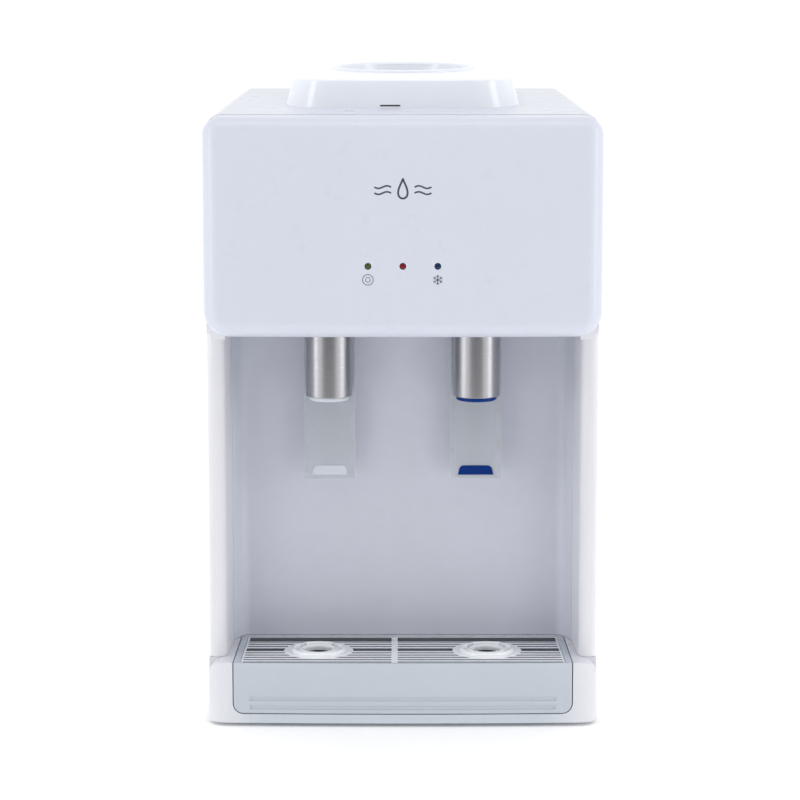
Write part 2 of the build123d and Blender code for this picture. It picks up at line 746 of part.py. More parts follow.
def make_water_probe():
    """Hollow spike that opens the bottle's cap, standing in the well."""
    top = rim_top - 8
    probe = post(0, seat_y, well_floor, top, probe_radius)
    probe = fillet(probe.edges().sort_by(Axis.Z)[-1], 4.0)
    probe -= post(0, seat_y, well_floor - 1, top - 3, probe_radius - 2)
    probe -= block(-2, 2, seat_y - 20, seat_y + 20, top - 16, top - 7)
    return probe


def make_seat_seal():
    """Silicone ring between the seat and the mouth of the cold tank."""
    ring = post(0, seat_y, tank_top, well_floor, well_low_radius + 8)
    return ring - post(0, seat_y, tank_top - 1, well_floor + 1, well_low_radius - 4)


# ---- cold side -------------------------------------------------------------------
def make_cold_tank():
    """Open stainless tank with a rolled flange and an outlet under its floor."""
    tank = post(0, seat_y, tank_low, tank_top, cold_tank_radius)
    tank -= post(0, seat_y, tank_low + tank_sheet, tank_top + 1, cold_tank_radius - tank_sheet)
    flange = post(0, seat_y, tank_top - 2, tank_top, cold_tank_radius + 6)
    tank += flange - post(0, seat_y, tank_top - 3, tank_top + 1, cold_tank_radius - 22)
    for x, y in (cold_outlet, hot_feed):
        tank -= post(x, y, tank_low - 1, tank_low + 3, hose_radius - 1.5)
    return tank


def make_baffle():
    """Disc that keeps fresh water off the cold water, with a pipe to the hot side."""
    z = tank_low + 70
    disc = post(0, seat_y, z, z + 2, cold_tank_radius - tank_sheet - 1.5)
    for turn in range(8):
        angle = math.radians(45 * turn + 10)
        disc -= post(50 * math.cos(angle), seat_y + 50 * math.sin(angle), z - 1, z + 3, 4.0)
    x, y = hot_feed
    standpipe = post(x, y, tank_low + tank_sheet, z, hose_radius - 0.5)
    return (disc + standpipe) - post(x, y, tank_low, z + 3, hose_radius - 1.5)


def make_evaporator():
    """Copper coil wound round the tank, with a tail below each of its ends."""
    rise = coil_turns * coil_pitch
    path = Helix(pitch=coil_pitch, height=rise, radius=coil_radius)
    wound = sweep(Plane(origin=path @ 0, z_dir=path % 0) * Circle(coil_tube), path=path)
    start = coil_foot + insulation_wall / 2 + 16
    wound = Pos(0, seat_y, start) * wound
    tail = post(coil_radius, seat_y, coil_foot, start - coil_tube - 0.5, coil_tube)
    riser = post(-riser_radius, seat_y, coil_foot, start + rise, coil_tube)
    return group([wound, tail, riser])


def make_insulation():
    """Foam jacket round the cold tank, hollow for the tank and its coil."""
    outer_radius = cold_tank_radius + 2 * coil_tube + insulation_wall
    low = tank_low - insulation_wall / 2
    jacket = post(0, seat_y, low, tank_top - 2, outer_radius)
    jacket = fillet(jacket.edges().sort_by(Axis.Z)[0], 6.0)
    jacket -= post(0, seat_y, tank_low, tank_top, cold_tank_radius + 2 * coil_tube + 1.0)
    jacket -= post(coil_radius, seat_y, low - 1, tank_low + 1, coil_tube + 0.2)
    jacket -= post(-riser_radius, seat_y, low - 1, tank_top, coil_tube + 0.2)
    for x, y in (cold_outlet, hot_feed):
        jacket -= post(x, y, low - 1, tank_low + 1, hose_radius + seam_gap)
    return jacket - both_sides(post(tap_x, riser_y, low - 1, tank_top, hose_radius + seam_gap))


def make_thermostat(x, y, z):
    """Capillary thermostat: box body with a round shaft and two tabs."""
    body = block(x - 14, x + 14, y - 18, y, z - 16, z + 16)
    body += bar_y(x, y - 26, y - 18, z, 4.0)
    for side in (-6, 6):
        body += block(x + side - 3, x + side + 3, y - 24, y - 18, z + 8, z + 8.8)
    return body


# ---- hot side --------------------------------------------------------------------
def make_hot_tank():
    """Closed stainless tank with an outlet above, and a feed and a drain below."""
    low = jacket_low + hot_jacket_wall
    high = low + hot_tank_height
    tank = post(hot_tank_x, hot_tank_y, low, high, hot_tank_radius)
    tank = fillet(tank.edges(), 5.0)
    inner = post(hot_tank_x, hot_tank_y, low + 1.2, high - 1.2, hot_tank_radius - 1.2)
    return tank - fillet(inner.edges(), 4.0)


def make_heater_band():
    """Band heater clamped round the hot tank."""
    low = jacket_low + hot_jacket_wall + 24
    band = post(hot_tank_x, hot_tank_y, low, low + 40, hot_tank_radius + 3)
    band -= post(hot_tank_x, hot_tank_y, low - 1, low + 41, hot_tank_radius)
    lug = block(hot_tank_x - 4, hot_tank_x + 4, hot_tank_y + hot_tank_radius + 1,
                hot_tank_y + hot_tank_radius + 9, low + 6, low + 34)
    slit = block(hot_tank_x - 1, hot_tank_x + 1, hot_tank_y, hot_tank_y + hot_tank_radius + 12,
                 low - 1, low + 41)
    return band + lug - slit


def make_hot_jacket():
    """Insulating jacket round the hot tank."""
    inner = hot_tank_radius + 4.0
    jacket = post(hot_tank_x, hot_tank_y, jacket_low, jacket_top, jacket_radius)
    jacket = fillet(jacket.edges(), 5.0)
    jacket -= post(hot_tank_x, hot_tank_y, jacket_low + hot_jacket_wall,
                   jacket_top - hot_jacket_wall, inner)
    jacket -= block(hot_tank_x - 6, hot_tank_x + 6, hot_tank_y + inner - 2, hot_tank_y + inner + 7,
                    jacket_low + hot_jacket_wall, jacket_low + hot_jacket_wall + 80)
    jacket -= post(hot_tank_x, hot_tank_y, jacket_top - 20, jacket_top + 1, hose_radius + hose_gap)
    jacket -= post(hot_tank_x, hot_tank_y, jacket_low - 1, jacket_low + 20, hose_radius + hose_gap)
    feed_z = jacket_low + hot_jacket_wall + 10
    jacket -= bar_x(hot_tank_x + inner - 3, hot_tank_x + jacket_radius + 2,
                    hot_tank_y, feed_z, hose_radius + hose_gap)
    return jacket


def make_tank_stand():
    """Bent sheet stand under the hot tank, with a hole for the drain."""
    half = jacket_radius - 10
    stand = block(hot_tank_x - half, hot_tank_x + half, hot_tank_y - half, hot_tank_y + half,
                  jacket_low - 1.5, jacket_low)
    for side in (-1, 1):
        edge = hot_tank_x + side * half
        x0, x1 = sorted((edge, edge - side * 1.5))
        stand += block(x0, x1, hot_tank_y - half, hot_tank_y + half, pan_top, jacket_low)
        x0, x1 = sorted((edge, edge - side * 14))
        stand += block(x0, x1, hot_tank_y - half, hot_tank_y + half, pan_top, pan_top + 1.5)
    return stand - post(hot_tank_x, hot_tank_y, jacket_low - 3, jacket_low + 1, hose_radius + 1)


def make_safety_cutout():
    """Round thermal cut-out on top of the hot tank's jacket."""
    body = post(hot_tank_x + 26, hot_tank_y + 20, jacket_top, jacket_top + 8, 9.0)
    for side in (-5, 5):
        body += block(hot_tank_x + 26 + side - 3, hot_tank_x + 26 + side + 3,
                      hot_tank_y + 19.6, hot_tank_y + 20.4, jacket_top + 7, jacket_top + 16)
    return body


# ---- compressor and condenser ----------------------------------------------------
def make_compressor():
    """Hermetic compressor: welded dome on a foot plate with four holes."""
    low = pan_top + 14
    dome = post(compressor_x, compressor_y, low + 2, low + compressor_height, compressor_radius)
    dome = fillet(dome.edges(), 28.0)
    plate = block(compressor_x - 56, compressor_x + 56, compressor_y - 52, compressor_y + 52,
                  low, low + 2.5)
    dome += plate
    dome += post(compressor_x, compressor_y, low + 60, low + 63, compressor_radius + 1.5)
    for x, y in grommet_places():
        dome -= post(x, y, low - 1, low + 4, 5.0)
    return dome


def grommet_places():
    """The compressor's four feet."""
    return [(compressor_x + dx, compressor_y + dy) for dx in (-47, 47) for dy in (-43, 43)]


def make_grommets():
    """Rubber grommets under and through the foot plate."""
    low = pan_top + 14
    pieces = []
    for x, y in grommet_places():
        grommet = post(x, y, pan_top, low, 8.0) + post(x, y, low, low + 6, 5.0)
        pieces.append((grommet - post(x, y, pan_top - 1, low + 7, 2.5)).solid())
    return Compound(children=pieces)


def make_condenser():
    """Serpentine steel tube behind the cabinet."""
    bend = condenser_pitch / 2
    coil = None
    for run in range(condenser_runs):
        z = condenser_low + run * condenser_pitch
        tube = bar_x(-condenser_half, condenser_half, condenser_y, z, condenser_tube)
        coil = tube if coil is None else coil + tube
        if run < condenser_runs - 1:
            side = 1 if run % 2 == 0 else -1
            arc = ThreePointArc((side * condenser_half, condenser_y, z),
                                (side * (condenser_half + bend), condenser_y, z + bend),
                                (side * condenser_half, condenser_y, z + condenser_pitch))
            coil += sweep(Plane(origin=arc @ 0, z_dir=arc % 0) * Circle(condenser_tube), path=arc)
    return coil


def make_condenser_wires():
    """Steel wires welded across the front and back of the condenser tube."""
    low = condenser_low - 8
    high = condenser_low + (condenser_runs - 1) * condenser_pitch + 8
    wires = []
    count = int(2 * (condenser_half - 5) / wire_pitch) + 1
    first = -(count - 1) / 2 * wire_pitch
    for index in range(count):
        for y in (condenser_y - condenser_tube - wire_radius, condenser_y + condenser_tube + wire_radius):
            wires.append(post(first + index * wire_pitch, y, low, high, wire_radius).solid())
    return Compound(children=wires)


def make_wall_spacers():
    """Four plastic feet on the rear panel that hold the condenser and touch the wall."""
    y0 = cabinet_rear - 2.0
    z_low = condenser_low + condenser_pitch / 2
    z_high = condenser_low + (condenser_runs - 1.5) * condenser_pitch
    pieces = []
    for x in (-spacer_x, spacer_x):
        for z in (z_low, z_high):
            spacer = block(x - 5, x + 5, y0, depth / 2, z - 8, z + 8)
            spacer = fillet(spacer.edges().filter_by(Axis.Y), 3.0)
            pieces.append(spacer.solid())
    return Compound(children=pieces)


def make_filter_drier():
    """Copper drier in the liquid line."""
    x, y, z = drier_place
    profile = [(0, 0), (2.6, 0), (8, 9), (8, 61), (2.6, 70), (0, 70)]
    return Pos(x, y, z) * revolve(Plane.XZ * make_face(Polyline(*profile, close=True)), Axis.Z)


# ---- hoses and pipes -------------------------------------------------------------
def make_hose(points):
    """Silicone hose along a route."""
    bends = [12.0] * (len(points) - 2)
    return pipe(points, hose_radius, bends) - pipe(points, hose_radius - 1.5, bends)


def make_copper(points, radius=2.5, bend=9.0):
    """Thin copper pipe along a route."""
    return pipe(points, radius, [bend] * (len(points) - 2))


# ---- rear controls ---------------------------------------------------------------
def make_switch_housing(x):
    """Rocker switch housing with its bezel and two blade terminals."""
    face = cabinet_rear - 2.0
    housing = block(x - 8, x + 8, face - 22, face, switch_z - 12, switch_z + 12)
    housing += block(x - 10.5, x + 10.5, face, face + 1.8, switch_z - 15, switch_z + 15)
    housing -= bar_x(x - 6.4, x + 6.4, rocker_y, switch_z, rocker_radius + 0.4)
    housing -= block(x - 6.4, x + 6.4, rocker_y, face + 5, switch_z - rocker_radius - 0.4,
                     switch_z + rocker_radius + 0.4)
    for z in (-6, 6):
        housing += block(x - 3, x + 3, face - 30, face - 22, switch_z + z - 0.4, switch_z + z + 0.4)
    return housing


def make_rocker(x):
    """Rocker of one switch: a drum with two flats that meet at a shallow angle."""
    drum = bar_x(x - 6.1, x + 6.1, rocker_y, switch_z, rocker_radius)
    for side in (-1, 1):
        cut = Pos(x, rocker_y, switch_z) * Rot(side * 9, 0, 0) * block(
            -10, 10, 4.4, 20, 0 if side > 0 else -20, 20 if side > 0 else 0)
        drum -= cut
    return Pos(x, rocker_y, switch_z) * Rot(-rocker_tilt, 0, 0) * Pos(-x, -rocker_y, -switch_z) * drum


def make_drain_spout():
    """Threaded spout of the hot tank's drain, through the base's back wall."""
    y0 = cabinet_rear - 3 * plastic
    spout = bar_y(drain_x, y0, cabinet_rear + 6, drain_z, spout_radius)
    spout += bar_y(drain_x, y0, cabinet_rear - plastic, drain_z, spout_radius + 3)
    return spout - bar_y(drain_x, y0 - 1, cabinet_rear + 7, drain_z, 3.5)


def make_drain_cap():
    """Cap that closes the drain."""
    cap = bar_y(drain_x, cabinet_rear + 0.5, cabinet_rear + 10, drain_z, 10.5)
    cap = fillet(cap.edges().sort_by(Axis.Y)[-1], 1.2)
    groove = Pos(11.2, 0, 0) * Rot(90, 0, 0) * Cylinder(1.2, 14)
    for turn in range(12):
        cap -= Pos(drain_x, cabinet_rear + 5, drain_z) * Rot(0, 30 * turn, 0) * groove
    return cap - bar_y(drain_x, cabinet_rear, cabinet_rear + 7.0, drain_z, spout_radius + running_gap)


def make_power_gland():
    """Gland in the base's back wall for the mains lead."""
    wall = cabinet_rear - plastic
    gland = bar_y(gland_x, wall - 6, cabinet_rear + 5, gland_z, gland_radius)
    gland += bar_y(gland_x, cabinet_rear, cabinet_rear + 3, gland_z, gland_radius + 3)
    return gland - bar_y(gland_x, wall - 7, cabinet_rear + 6, gland_z, 3.6)


def make_terminal_block():
    """Terminal block for the mains wiring, on the base's floor."""
    low = terminal_y - 20
    body = block(terminal_x - 12, terminal_x + 12, low, terminal_y + 20, pan_top, pan_top + 16)
    for index in range(4):
        body -= post(terminal_x, low + 5.5 + index * 10, pan_top + 8, pan_top + 17, 3.2)
    return body


# ---- all pieces ------------------------------------------------------------------
def hose_routes():
    """Routes of the water hoses: cold, hot feed, hot and drain."""
    inlet_y = tap_y + valve_radius
    under = tank_low - insulation_wall / 2 - 22
    feed_z = jacket_low + hot_jacket_wall + 10
    cold_x, cold_y = cold_outlet
    feed_x, feed_y = hot_feed
    return [
        [(cold_x, cold_y, tank_low), (cold_x, cold_y, under), (tap_x, riser_y, under),
         (tap_x, riser_y, inlet_z), (tap_x, inlet_y, inlet_z)],
        [(feed_x, feed_y, tank_low), (feed_x, feed_y, feed_z),
         (hot_tank_x + hot_tank_radius + seam_gap, hot_tank_y, feed_z)],
        [(hot_tank_x, hot_tank_y, jacket_top - hot_jacket_wall), (hot_tank_x, hot_tank_y, under),
         (-tap_x, riser_y, under), (-tap_x, riser_y, inlet_z), (-tap_x, inlet_y, inlet_z)],
        [(hot_tank_x, hot_tank_y, jacket_low + hot_jacket_wall), (hot_tank_x, hot_tank_y, drain_z),
         (drain_x, cabinet_rear - 3 * plastic, drain_z)],
    ]


def gas_routes():
    """Routes of the suction pipe and of the discharge pipe."""
    return [
        [(coil_radius, seat_y, coil_foot), (coil_radius, seat_y, dome_top + 60),
         (compressor_x + 14, compressor_y - 14, dome_top + 60),
         (compressor_x + 14, compressor_y - 14, dome_top)],
        [(compressor_x, compressor_y + 22, dome_top), (compressor_x, compressor_y + 22, discharge_z),
         (discharge_x, compressor_y + 40, discharge_z), (discharge_x, condenser_y, discharge_z),
         (discharge_x, condenser_y, condenser_top), (condenser_half, condenser_y, condenser_top)],
    ]


def liquid_route():
    """From the condenser's last run, through the rear panel, to the drier."""
    x, y, z = drier_place
    return [(-condenser_half, condenser_y, condenser_low), (-discharge_x, condenser_y, condenser_low),
            (-discharge_x, y, condenser_low), (-discharge_x, y, z - 18), (x, y, z - 18), (x, y, z)]


def capillary_route():
    """From the drier to the coil's second tail."""
    x, y, z = drier_place
    return [(x, y, z + 70), (x, y, coil_foot - 12), (-riser_radius, seat_y, coil_foot - 12),
            (-riser_radius, seat_y, coil_foot)]


def all_pieces():
    """Every piece of the machine, by its name."""
    right_panel = make_side_panel()
    pieces = {
        "base": make_base(),
        "feet": make_feet(),
        "front_frame": make_front_frame(),
        "alcove_panel": make_alcove_panel(),
        "tap_shelf": make_tap_shelf(),
        "head_cover": make_head_cover(),
        "top_cover": make_top_cover(),
        "right_side_panel": right_panel,
        "left_side_panel": mirror(right_panel, about=Plane.YZ),
        "rear_panel": make_rear_panel(),
        "cabinet_screws": make_cabinet_screws(),
        "indicator_board": make_indicator_board(),
        "drip_tray": make_drip_tray(),
        "drip_grille": make_grille(),
        "bottle_seat": make_bottle_seat(),
        "water_probe": make_water_probe(),
        "seat_seal": make_seat_seal(),
        "tap_bracket": make_tap_bracket(),
        "cold_tank": make_cold_tank(),
        "tank_baffle": make_baffle(),
        "evaporator_coil": make_evaporator(),
        "tank_insulation": make_insulation(),
        "cold_thermostat": make_thermostat(70, cabinet_rear - 3.0, cabinet_height - 70),
        "hot_tank": make_hot_tank(),
        "heater_band": make_heater_band(),
        "hot_tank_jacket": make_hot_jacket(),
        "tank_stand": make_tank_stand(),
        "thermal_cutout": make_safety_cutout(),
        "compressor": make_compressor(),
        "compressor_grommets": make_grommets(),
        "condenser_tube": make_condenser(),
        "condenser_wires": make_condenser_wires(),
        "wall_spacers": make_wall_spacers(),
        "filter_drier": make_filter_drier(),
        "drain_spout": make_drain_spout(),
        "drain_cap": make_drain_cap(),
        "power_gland": make_power_gland(),
        "terminal_block": make_terminal_block(),
    }
    for x, name in ((-tap_x, "hot"), (tap_x, "cold")):
        pieces[name + "_tap_nozzle"] = make_nozzle(x)
        pieces[name + "_valve_plunger"] = make_plunger(x)
        pieces[name + "_valve_spring"] = make_spring(x)
        pieces[name + "_paddle"] = make_paddle(x)
        pieces[name + "_paddle_tab"] = tab_shape(x)
    for x, name in switch_places:
        pieces[name + "_switch_rocker"] = make_rocker(x)
    taps = (-tap_x, tap_x)
    pieces["indicator_lights"] = group(make_light(x) for x, _ in led_places)
    pieces["tap_sleeves"] = group(make_sleeve(x) for x in taps)
    pieces["valve_bodies"] = group(make_valve_body(x) for x in taps)
    pieces["pivot_pins"] = group(make_pivot_pin(x) for x in taps)
    pieces["cup_rings"] = group(make_cup_ring(x) for x in (-cup_x, cup_x))
    pieces["switch_housings"] = group(make_switch_housing(x) for x, _ in switch_places)
    pieces["water_hoses"] = group(make_hose(route) for route in hose_routes())
    pieces["gas_pipes"] = group(make_copper(route, pipe_radius, 9.0) for route in gas_routes())
    pieces["liquid_pipe"] = make_copper(liquid_route(), pipe_radius, 9.0)
    pieces["capillary_tube"] = make_copper(capillary_route(), 1.2, 6.0)
    return pieces


os.makedirs("parts", exist_ok=True)
for node, piece in all_pieces().items():
    export_step(piece, "parts/" + node + ".step")
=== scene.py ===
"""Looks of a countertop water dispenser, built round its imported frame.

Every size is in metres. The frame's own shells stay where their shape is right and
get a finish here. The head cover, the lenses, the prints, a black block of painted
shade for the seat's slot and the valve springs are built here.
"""
import json
import logging
import math
from dataclasses import dataclass, field
from enum import Enum
from typing import Callable, Iterable, Optional, Sequence

import bmesh
import bpy
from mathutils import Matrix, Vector

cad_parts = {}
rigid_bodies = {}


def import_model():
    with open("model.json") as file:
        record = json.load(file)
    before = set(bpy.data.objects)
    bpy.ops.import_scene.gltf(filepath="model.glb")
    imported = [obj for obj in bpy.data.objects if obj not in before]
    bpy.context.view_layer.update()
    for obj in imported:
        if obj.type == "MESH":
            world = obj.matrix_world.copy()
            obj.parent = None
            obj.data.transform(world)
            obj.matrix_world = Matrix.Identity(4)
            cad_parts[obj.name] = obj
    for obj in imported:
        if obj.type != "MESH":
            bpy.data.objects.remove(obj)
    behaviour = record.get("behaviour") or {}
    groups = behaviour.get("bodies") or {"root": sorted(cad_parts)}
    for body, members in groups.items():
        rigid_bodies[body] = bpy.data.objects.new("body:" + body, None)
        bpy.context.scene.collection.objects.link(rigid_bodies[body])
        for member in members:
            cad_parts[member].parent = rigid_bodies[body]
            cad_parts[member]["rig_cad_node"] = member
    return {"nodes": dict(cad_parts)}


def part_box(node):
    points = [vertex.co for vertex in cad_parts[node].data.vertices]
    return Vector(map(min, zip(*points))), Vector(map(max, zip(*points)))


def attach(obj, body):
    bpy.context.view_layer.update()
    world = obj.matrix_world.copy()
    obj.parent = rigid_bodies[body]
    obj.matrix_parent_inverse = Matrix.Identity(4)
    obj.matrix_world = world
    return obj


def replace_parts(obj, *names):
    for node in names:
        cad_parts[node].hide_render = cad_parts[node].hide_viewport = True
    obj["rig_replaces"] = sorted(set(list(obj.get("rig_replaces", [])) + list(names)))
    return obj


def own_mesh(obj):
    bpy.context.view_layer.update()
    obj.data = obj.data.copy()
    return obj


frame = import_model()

LOG = logging.getLogger("dispenser")
MM = 0.001

Colour = tuple[float, float, float]
Point2 = tuple[float, float]
Point3 = tuple[float, float, float]
Span = tuple[float, float]


def srgb(red: int, green: int, blue: int) -> Colour:
    """Turn a screen colour into the linear values a shader takes.

    Args:
        red: Red from 0 to 255.
        green: Green from 0 to 255.
        blue: Blue from 0 to 255.

    Returns:
        The linear colour.
    """
    def channel(value: int) -> float:
        """Linear value of one channel."""
        share = value / 255
        return share / 12.92 if share <= 0.04045 else ((share + 0.055) / 1.055) ** 2.4

    return channel(red), channel(green), channel(blue)


# ---- shader bench ------------------------------------------------------------------
class Bench:
    """A node tree with short calls for adding and joining nodes."""

    def __init__(self, tree: bpy.types.NodeTree) -> None:
        """Keep the tree that nodes are added to."""
        self.tree = tree

    def add(self, kind: str, **settings: object) -> bpy.types.Node:
        """Add a node and set its plain properties.

        Args:
            kind: Blender's name of the node type.
            settings: Property values, by name.

        Returns:
            The new node.
        """
        node = self.tree.nodes.new(kind)
        for name, value in settings.items():
            setattr(node, name, value)
        return node

    def join(self, start: bpy.types.NodeSocket, end: bpy.types.NodeSocket) -> None:
        """Link two sockets."""
        self.tree.links.new(start, end)

    def calc(self, operation: str, first: object, second: object,
             clamp: bool = False) -> bpy.types.NodeSocket:
        """Do one arithmetic step on two sockets or numbers.

        Args:
            operation: Blender's name of the step, such as MULTIPLY.
            first: Socket or number.
            second: Socket or number.
            clamp: Whether the result is kept between 0 and 1.

        Returns:
            The result's socket.
        """
        node = self.add("ShaderNodeMath", operation=operation, use_clamp=clamp)
        for socket, value in zip(node.inputs, (first, second)):
            if isinstance(value, bpy.types.NodeSocket):
                self.join(value, socket)
            else:
                socket.default_value = value
        return node.outputs[0]

    def remap(self, value: bpy.types.NodeSocket, low: float, high: float,
              to_low: float = 0.0, to_high: float = 1.0) -> bpy.types.NodeSocket:
        """Stretch one range of values onto another, clamped.

        Args:
            value: Socket to stretch.
            low: Value that becomes to_low.
            high: Value that becomes to_high.
            to_low: New low end.
            to_high: New high end.

        Returns:
            The stretched value's socket.
        """
        node = self.add("ShaderNodeMapRange")
        self.join(value, node.inputs["Value"])
        limits = (("From Min", low), ("From Max", high), ("To Min", to_low), ("To Max", to_high))
        for name, number in limits:
            node.inputs[name].default_value = number
        return node.outputs["Result"]

    def noise(self, scale: object, detail: float = 3.0, roughness: float = 0.5,
              vector: Optional[bpy.types.NodeSocket] = None) -> bpy.types.NodeSocket:
        """Add a noise in the object's own space.

        Args:
            scale: Number or socket.
            detail: Octaves.
            roughness: Strength of the finer octaves.
            vector: Position to read, or None for the object's own.

        Returns:
            The noise factor's socket.
        """
        node = self.add("ShaderNodeTexNoise")
        node.inputs["Detail"].default_value = detail
        node.inputs["Roughness"].default_value = roughness
        if isinstance(scale, bpy.types.NodeSocket):
            self.join(scale, node.inputs["Scale"])
        else:
            node.inputs["Scale"].default_value = scale
        if vector is None:
            vector = self.add("ShaderNodeTexCoord").outputs["Object"]
        self.join(vector, node.inputs["Vector"])
        return node.outputs["Fac"]

    def blend(self, factor: bpy.types.NodeSocket, first: object,
              second: object) -> bpy.types.NodeSocket:
        """Mix two colours, or sockets that carry colours, by a mask.

        Args:
            factor: Mask socket.
            first: Colour where the mask is 0.
            second: Colour where the mask is 1.

        Returns:
            The mixed colour's socket.
        """
        node = self.add("ShaderNodeMix", data_type="RGBA")
        self.join(factor, node.inputs["Factor"])
        ends = [socket for socket in node.inputs if socket.type == "RGBA"]
        for socket, colour in zip(ends, (first, second)):
            if isinstance(colour, bpy.types.NodeSocket):
                self.join(colour, socket)
            else:
                socket.default_value = (*colour, 1)
        return next(socket for socket in node.outputs if socket.type == "RGBA")


class Effect(Enum):
    """Shader groups that several finishes share."""

    MOULD_GRAIN = "mould_grain"
    EDGE_WEAR = "edge_wear"
    SETTLED_DUST = "settled_dust"
    BRUSHING = "brushing"


def new_group(effect: Effect, inputs: Iterable[tuple[str, float]], outputs: Iterable[str]) -> Bench:
    """Start a shader group with number sockets.

    Args:
        effect: Which effect it is.
        inputs: Name and default of each input.
        outputs: Name of each output.

    Returns:
        A bench on the group's tree, with its two end nodes made.
    """
    tree = bpy.data.node_groups.new(effect.value, "ShaderNodeTree")
    for name, default in inputs:
        socket = tree.interface.new_socket(name=name, in_out="INPUT", socket_type="NodeSocketFloat")
        socket.default_value = default
    for name in outputs:
        tree.interface.new_socket(name=name, in_out="OUTPUT", socket_type="NodeSocketFloat")
    bench = Bench(tree)
    bench.add("NodeGroupInput", name="in")
    bench.add("NodeGroupOutput", name="out")
    return bench


def build_mould_grain() -> bpy.types.NodeTree:
    """Skin of moulded plastic: fine spark texture, soft ripple and a slow drift of tone.

    Returns:
        The group.
    """
    bench = new_group(Effect.MOULD_GRAIN, (("Grain Scale", 2600.0), ("Grain", 0.5), ("Ripple", 0.3)),
                      ("Height", "Tone", "Gloss"))
    ends = bench.tree.nodes
    fine = bench.noise(ends["in"].outputs["Grain Scale"], 2.0)
    ripple = bench.noise(140.0, 2.0)
    grain = bench.calc("MULTIPLY", fine, ends["in"].outputs["Grain"])
    wave = bench.calc("MULTIPLY", ripple, ends["in"].outputs["Ripple"])
    bench.join(bench.calc("ADD", grain, wave), ends["out"].inputs["Height"])
    slow = bench.noise(9.0, 3.0)
    bench.join(bench.remap(slow, 0.32, 0.68), ends["out"].inputs["Tone"])
    bench.join(bench.calc("MULTIPLY", bench.noise(60.0, 4.0, 0.6), fine), ends["out"].inputs["Gloss"])
    return bench.tree


def build_edge_wear() -> bpy.types.NodeTree:
    """Mask of convex edges, broken up so that wear comes and goes along them.

    Returns:
        The group.
    """
    bench = new_group(Effect.EDGE_WEAR, (("Start", 0.52), ("End", 0.6), ("Breakup", 0.6)), ("Mask",))
    ends = bench.tree.nodes
    point = bench.add("ShaderNodeNewGeometry").outputs["Pointiness"]
    node = bench.add("ShaderNodeMapRange")
    bench.join(point, node.inputs["Value"])
    bench.join(ends["in"].outputs["Start"], node.inputs["From Min"])
    bench.join(ends["in"].outputs["End"], node.inputs["From Max"])
    patches = bench.remap(bench.noise(90.0, 5.0, 0.65), 0.35, 0.65)
    kept = bench.calc("SUBTRACT", 1.0, ends["in"].outputs["Breakup"])
    broken = bench.calc("ADD", kept, bench.calc("MULTIPLY", patches, ends["in"].outputs["Breakup"]), True)
    bench.join(bench.calc("MULTIPLY", node.outputs["Result"], broken), ends["out"].inputs["Mask"])
    return bench.tree


def build_settled_dust() -> bpy.types.NodeTree:
    """Mask of faint dust on what faces up.

    Returns:
        The group.
    """
    bench = new_group(Effect.SETTLED_DUST, (("Amount", 0.3), ("Patch Scale", 14.0)), ("Mask",))
    ends = bench.tree.nodes
    split = bench.add("ShaderNodeSeparateXYZ")
    bench.join(bench.add("ShaderNodeNewGeometry").outputs["Normal"], split.inputs[0])
    up = bench.remap(split.outputs["Z"], 0.5, 1.0)
    patches = bench.remap(bench.noise(ends["in"].outputs["Patch Scale"], 6.0, 0.7), 0.35, 0.8)
    specks = bench.remap(bench.noise(1400.0, 2.0), 0.5, 0.75)
    dust = bench.calc("MULTIPLY", bench.calc("MULTIPLY", up, patches), specks)
    bench.join(bench.calc("MULTIPLY", dust, ends["in"].outputs["Amount"]), ends["out"].inputs["Mask"])
    return bench.tree


def build_brushing() -> bpy.types.NodeTree:
    """Fine turned lines: streaks that run round an upright part or across a sheet.

    Returns:
        The group.
    """
    bench = new_group(Effect.BRUSHING, (("Along", 20.0), ("Across", 3500.0)), ("Height", "Streak"))
    ends = bench.tree.nodes
    split = bench.add("ShaderNodeSeparateXYZ")
    bench.join(bench.add("ShaderNodeTexCoord").outputs["Object"], split.inputs[0])
    packed = bench.add("ShaderNodeCombineXYZ")
    for axis, share in (("X", "Along"), ("Y", "Along"), ("Z", "Across")):
        scaled = bench.calc("MULTIPLY", split.outputs[axis], ends["in"].outputs[share])
        bench.join(scaled, packed.inputs[axis])
    lines = bench.noise(1.0, 4.0, 0.7, packed.outputs[0])
    bench.join(lines, ends["out"].inputs["Height"])
    bench.join(bench.remap(lines, 0.3, 0.7), ends["out"].inputs["Streak"])
    return bench.tree


class Effects:
    """Builds each shared shader group once and places it in materials."""

    builders: dict[Effect, Callable[[], bpy.types.NodeTree]] = {
        Effect.MOULD_GRAIN: build_mould_grain,
        Effect.EDGE_WEAR: build_edge_wear,
        Effect.SETTLED_DUST: build_settled_dust,
        Effect.BRUSHING: build_brushing,
    }
    made: dict[Effect, bpy.types.NodeTree] = {}

    @classmethod
    def place(cls, bench: Bench, effect: Effect, **values: float) -> bpy.types.Node:
        """Put a shared group into a material.

        Args:
            bench: The material's bench.
            effect: Which group.
            values: Input values, by name with underscores for spaces.

        Returns:
            The group's node.
        """
        if effect not in cls.made:
            cls.made[effect] = cls.builders[effect]()
        node = bench.add("ShaderNodeGroup")
        node.node_tree = cls.made[effect]
        for name, value in values.items():
            node.inputs[name.replace("_", " ").title()].default_value = value
        return node


# ---- finishes ----------------------------------------------------------------------
# Roughness drifts between these shares of a finish's own.
SMOOTH_SHARE = 0.85
ROUGH_SHARE = 1.15
# What worn or dusty places do to the colour and the roughness.
WORN_SHADE = 1.12
WORN_ROUGHNESS = 0.25
COAT_ROUGHNESS = 0.08


